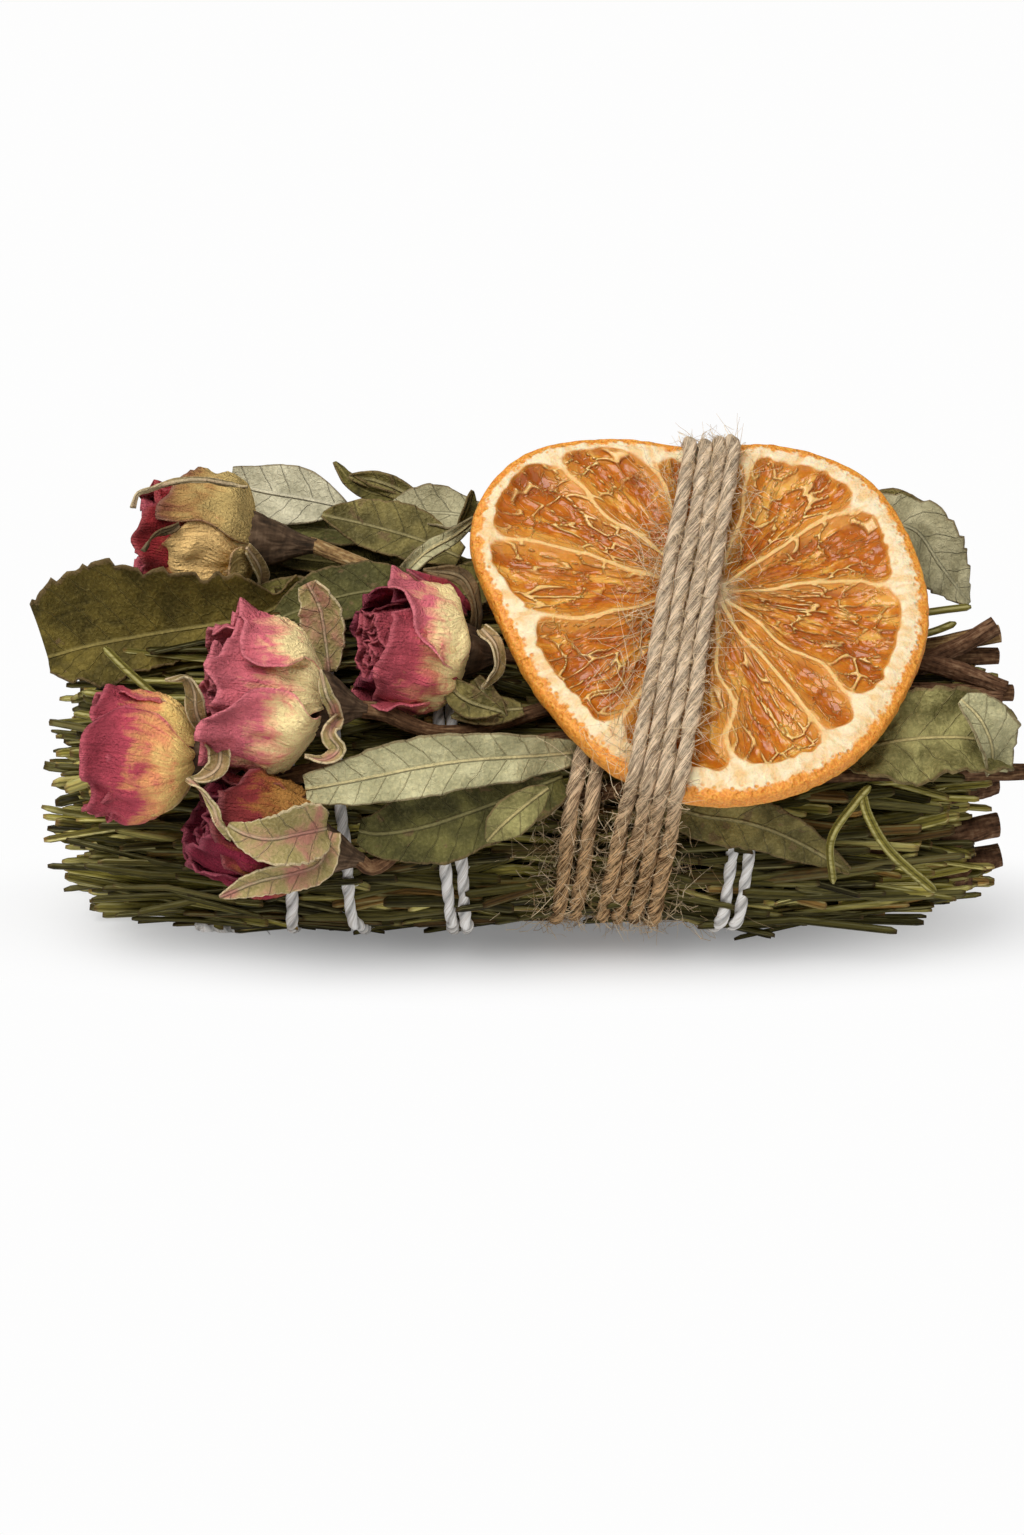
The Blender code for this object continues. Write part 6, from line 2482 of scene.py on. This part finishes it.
def loose_leaves() -> list[Blade]:
    """The leaves packed under and behind the others."""
    up, front = (0, -0.5, 0.85), (0, -1, 0.3)
    return [
        loose(
            1, ((-4.6, 2, 50.2), (-11.8, 3, 49.4), (-20.5, 4, 49), (-29.2, 5, 49), (-35, 6, 49.1)), up, 4.4,
            LeafLook.DARK
        ),
        loose(
            2,
            ((-6.1, 9, 52.6), (-13.4, 11.5, 51), (-22.1, 13.5, 50.6), (-30.9, 15, 51), (-36.5, 16, 51.5)),
            up, 4.2, LeafLook.DARK
        ),
        loose(
            3, ((-12, 15, 55), (-22.3, 17, 54.4), (-29.6, 19, 54.4), (-36.7, 20, 54.6)), up, 3.8,
            LeafLook.GREEN
        ),
        loose(4, ((-1.7, 4, 54.8), (-6, 0, 51.6), (-9.6, -2, 49)), up, 4, LeafLook.DARK),
        loose(5, ((-3, 1, 48), (-16, 2, 47), (-30, 4, 47.5), (-42, 7, 47)), up, 6, LeafLook.DARK),
        loose(6, ((-4, 12, 50.5), (-16, 14, 49), (-30, 15, 49), (-42, 16, 48)), up, 6, LeafLook.DARK),
        loose(
            11, ((-5.9, 14, 62), (-6.6, 12.6, 59.6), (-8.3, 11.4, 56.2)), (0.6, -0.8, 0), 1.7, LeafLook.DARK
        ),
        loose(
            12, ((-12.4, 15.8, 58.6), (-15.6, 17, 60.6), (-19.8, 18.6, 61.9), (-23.9, 20, 62.2)), front,
            1.7, LeafLook.OLIVE
        ),
        loose(
            9, ((5, -33, 34.4), (2.2, -34.2, 32.6), (-1, -34.6, 29.9), (-3.5, -34, 26.9)), front, 3,
            LeafLook.SAGE
        ),
        loose(10, ((-10.2, -20, 46), (-6.5, -21.5, 43), (-1.5, -22.5, 41.6)), front, 2.4, LeafLook.OLIVE),
        loose(
            8, ((47, 11, 56), (53.5, 12, 60.2), (58.2, 12.6, 59.3), (63.9, 12.8, 57.4)), front, 2.6,
            LeafLook.OLIVE
        ),
        loose(
            7, ((67.4, -23.5, 33), (66.9, -24.9, 37.5), (65.2, -25.6, 41.6), (62.4, -25, 44.4)),
            (0.25, -0.9, 0.35), 4.9, LeafLook.PALE, raised=(12, 4), rolled=(80, 14), base=0.4, tip=0.3,
            tooth=0.12, waves=1.4, wrinkle=0.9
        ),
    ]


# ---- studio


@dataclass
class Studio:
    """Floor, light and camera."""

    elevation: float = math.radians(22.0)
    distance: float = 650.0
    lens: float = 104.42
    aim: Point = (0.0, 0.0, 24.1)
    floor_size: float = 6.0
    floor_colour: Colour = (0.9, 0.9, 0.9)
    white: Colour = (0.985, 0.984, 0.983)
    world_strength: float = 0.17
    key_power: float = 7.5
    fill_power: float = 1.7
    shadow: Pair = (0.008, 0.033)
    shadow_squeeze: float = 0.31
    shadow_middle: Point = (0.0, 0.007, 0.0)

    def floor(self) -> None:
        """A pale floor that keeps the object's shadow and is white further out."""
        half = self.floor_size / 2
        data = bpy.data.meshes.new("floor")
        corners = [(-half, -half, 0.0), (half, -half, 0.0), (half, half, 0.0), (-half, half, 0.0)]
        data.from_pydata(corners, [], [range(len(corners))])
        piece = Mesh.link("floor", data)
        skin = Skin("floor", 0.95)
        skin.set("Base Color", self.floor_colour)
        # How far the floor is from the middle of the shadow, which is long along the bundle.
        off = skin.vector_math("SUBTRACT", skin.place(self.shadow_squeeze, 1.0), self.shadow_middle)
        away = skin.out(skin.node("ShaderNodeVectorMath", {"operation": "LENGTH"}, {0: off}), "Value")
        white = skin.node("ShaderNodeEmission", None, {"Color": (*self.white, 1.0), "Strength": 1.0})
        seen = skin.out(skin.node("ShaderNodeLightPath"), "Is Camera Ray")
        whiteness = (away.step(*self.shadow) * 0.8 + 0.2) * seen
        shaders = {0: whiteness, 1: skin.out(skin.shader), 2: skin.out(white)}
        mixed = skin.node("ShaderNodeMixShader", None, shaders)
        output = skin.tree.nodes["Material Output"]
        skin.connect(output.inputs["Surface"], skin.out(mixed))
        data.materials.append(skin.material)

    def lamp(self, name: str, place: Point, size: float, power: float) -> None:
        """A square softbox aimed at the object.

        Args:
            name: Its name.
            place: Where it hangs, in metres.
            size: Its side, in metres.
            power: Its power, in watts.
        """
        light = bpy.data.lights.new(name, "AREA")
        light.size = size
        light.energy = power
        made = bpy.data.objects.new(name, light)
        bpy.context.scene.collection.objects.link(made)
        made.location = place
        made.rotation_euler = (-Vector(place)).to_track_quat("-Z", "Y").to_euler()

    def world(self) -> None:
        """A white surround: white to the camera and soft on the object."""
        world = bpy.data.worlds.new("surround")
        world.use_nodes = True
        tree = Nodes(world.node_tree)
        background = tree.tree.nodes["Background"]
        seen = tree.out(tree.node("ShaderNodeLightPath"), "Is Camera Ray")
        tree.connect(background.inputs["Color"], (*self.white, 1.0))
        tree.connect(background.inputs["Strength"], seen * (1 - self.world_strength) + self.world_strength)
        bpy.context.scene.world = world

    def camera(self) -> None:
        """The camera, a little above the bundle and square to it."""
        data = bpy.data.cameras.new("camera")
        data.lens = self.lens
        made = bpy.data.objects.new("camera", data)
        bpy.context.scene.collection.objects.link(made)
        back = np.array((0.0, -math.cos(self.elevation), math.sin(self.elevation))) * self.distance
        made.location = LAYOUT.place(np.array(self.aim) + back)
        made.rotation_euler = (math.pi / 2 - self.elevation, 0.0, 0.0)
        bpy.context.scene.camera = made

    def build(self) -> None:
        """Sets up the studio."""
        self.camera()
        self.floor()
        self.world()
        self.lamp("key", (-0.25, -0.35, 0.75), 0.7, self.key_power)
        self.lamp("fill", (0.6, -0.7, 0.35), 0.8, self.fill_power)
        bpy.context.scene.view_settings.view_transform = "Standard"


def main() -> None:
    """Builds every part of the scene in order."""
    logging.basicConfig(level=logging.INFO, format="%(name)s: %(message)s")
    Studio().build()
    RosemaryBundle().build()
    Ties().build()
    OrangeSlice().build()
    for rose in roses():
        rose.build()
    for blade in leaves():
        blade.build("pale_leaf" if blade.look in PALE_LOOKS else "leaf")
    for blade in loose_leaves():
        blade.build("leaf")


if __name__ == "__main__":
    main()
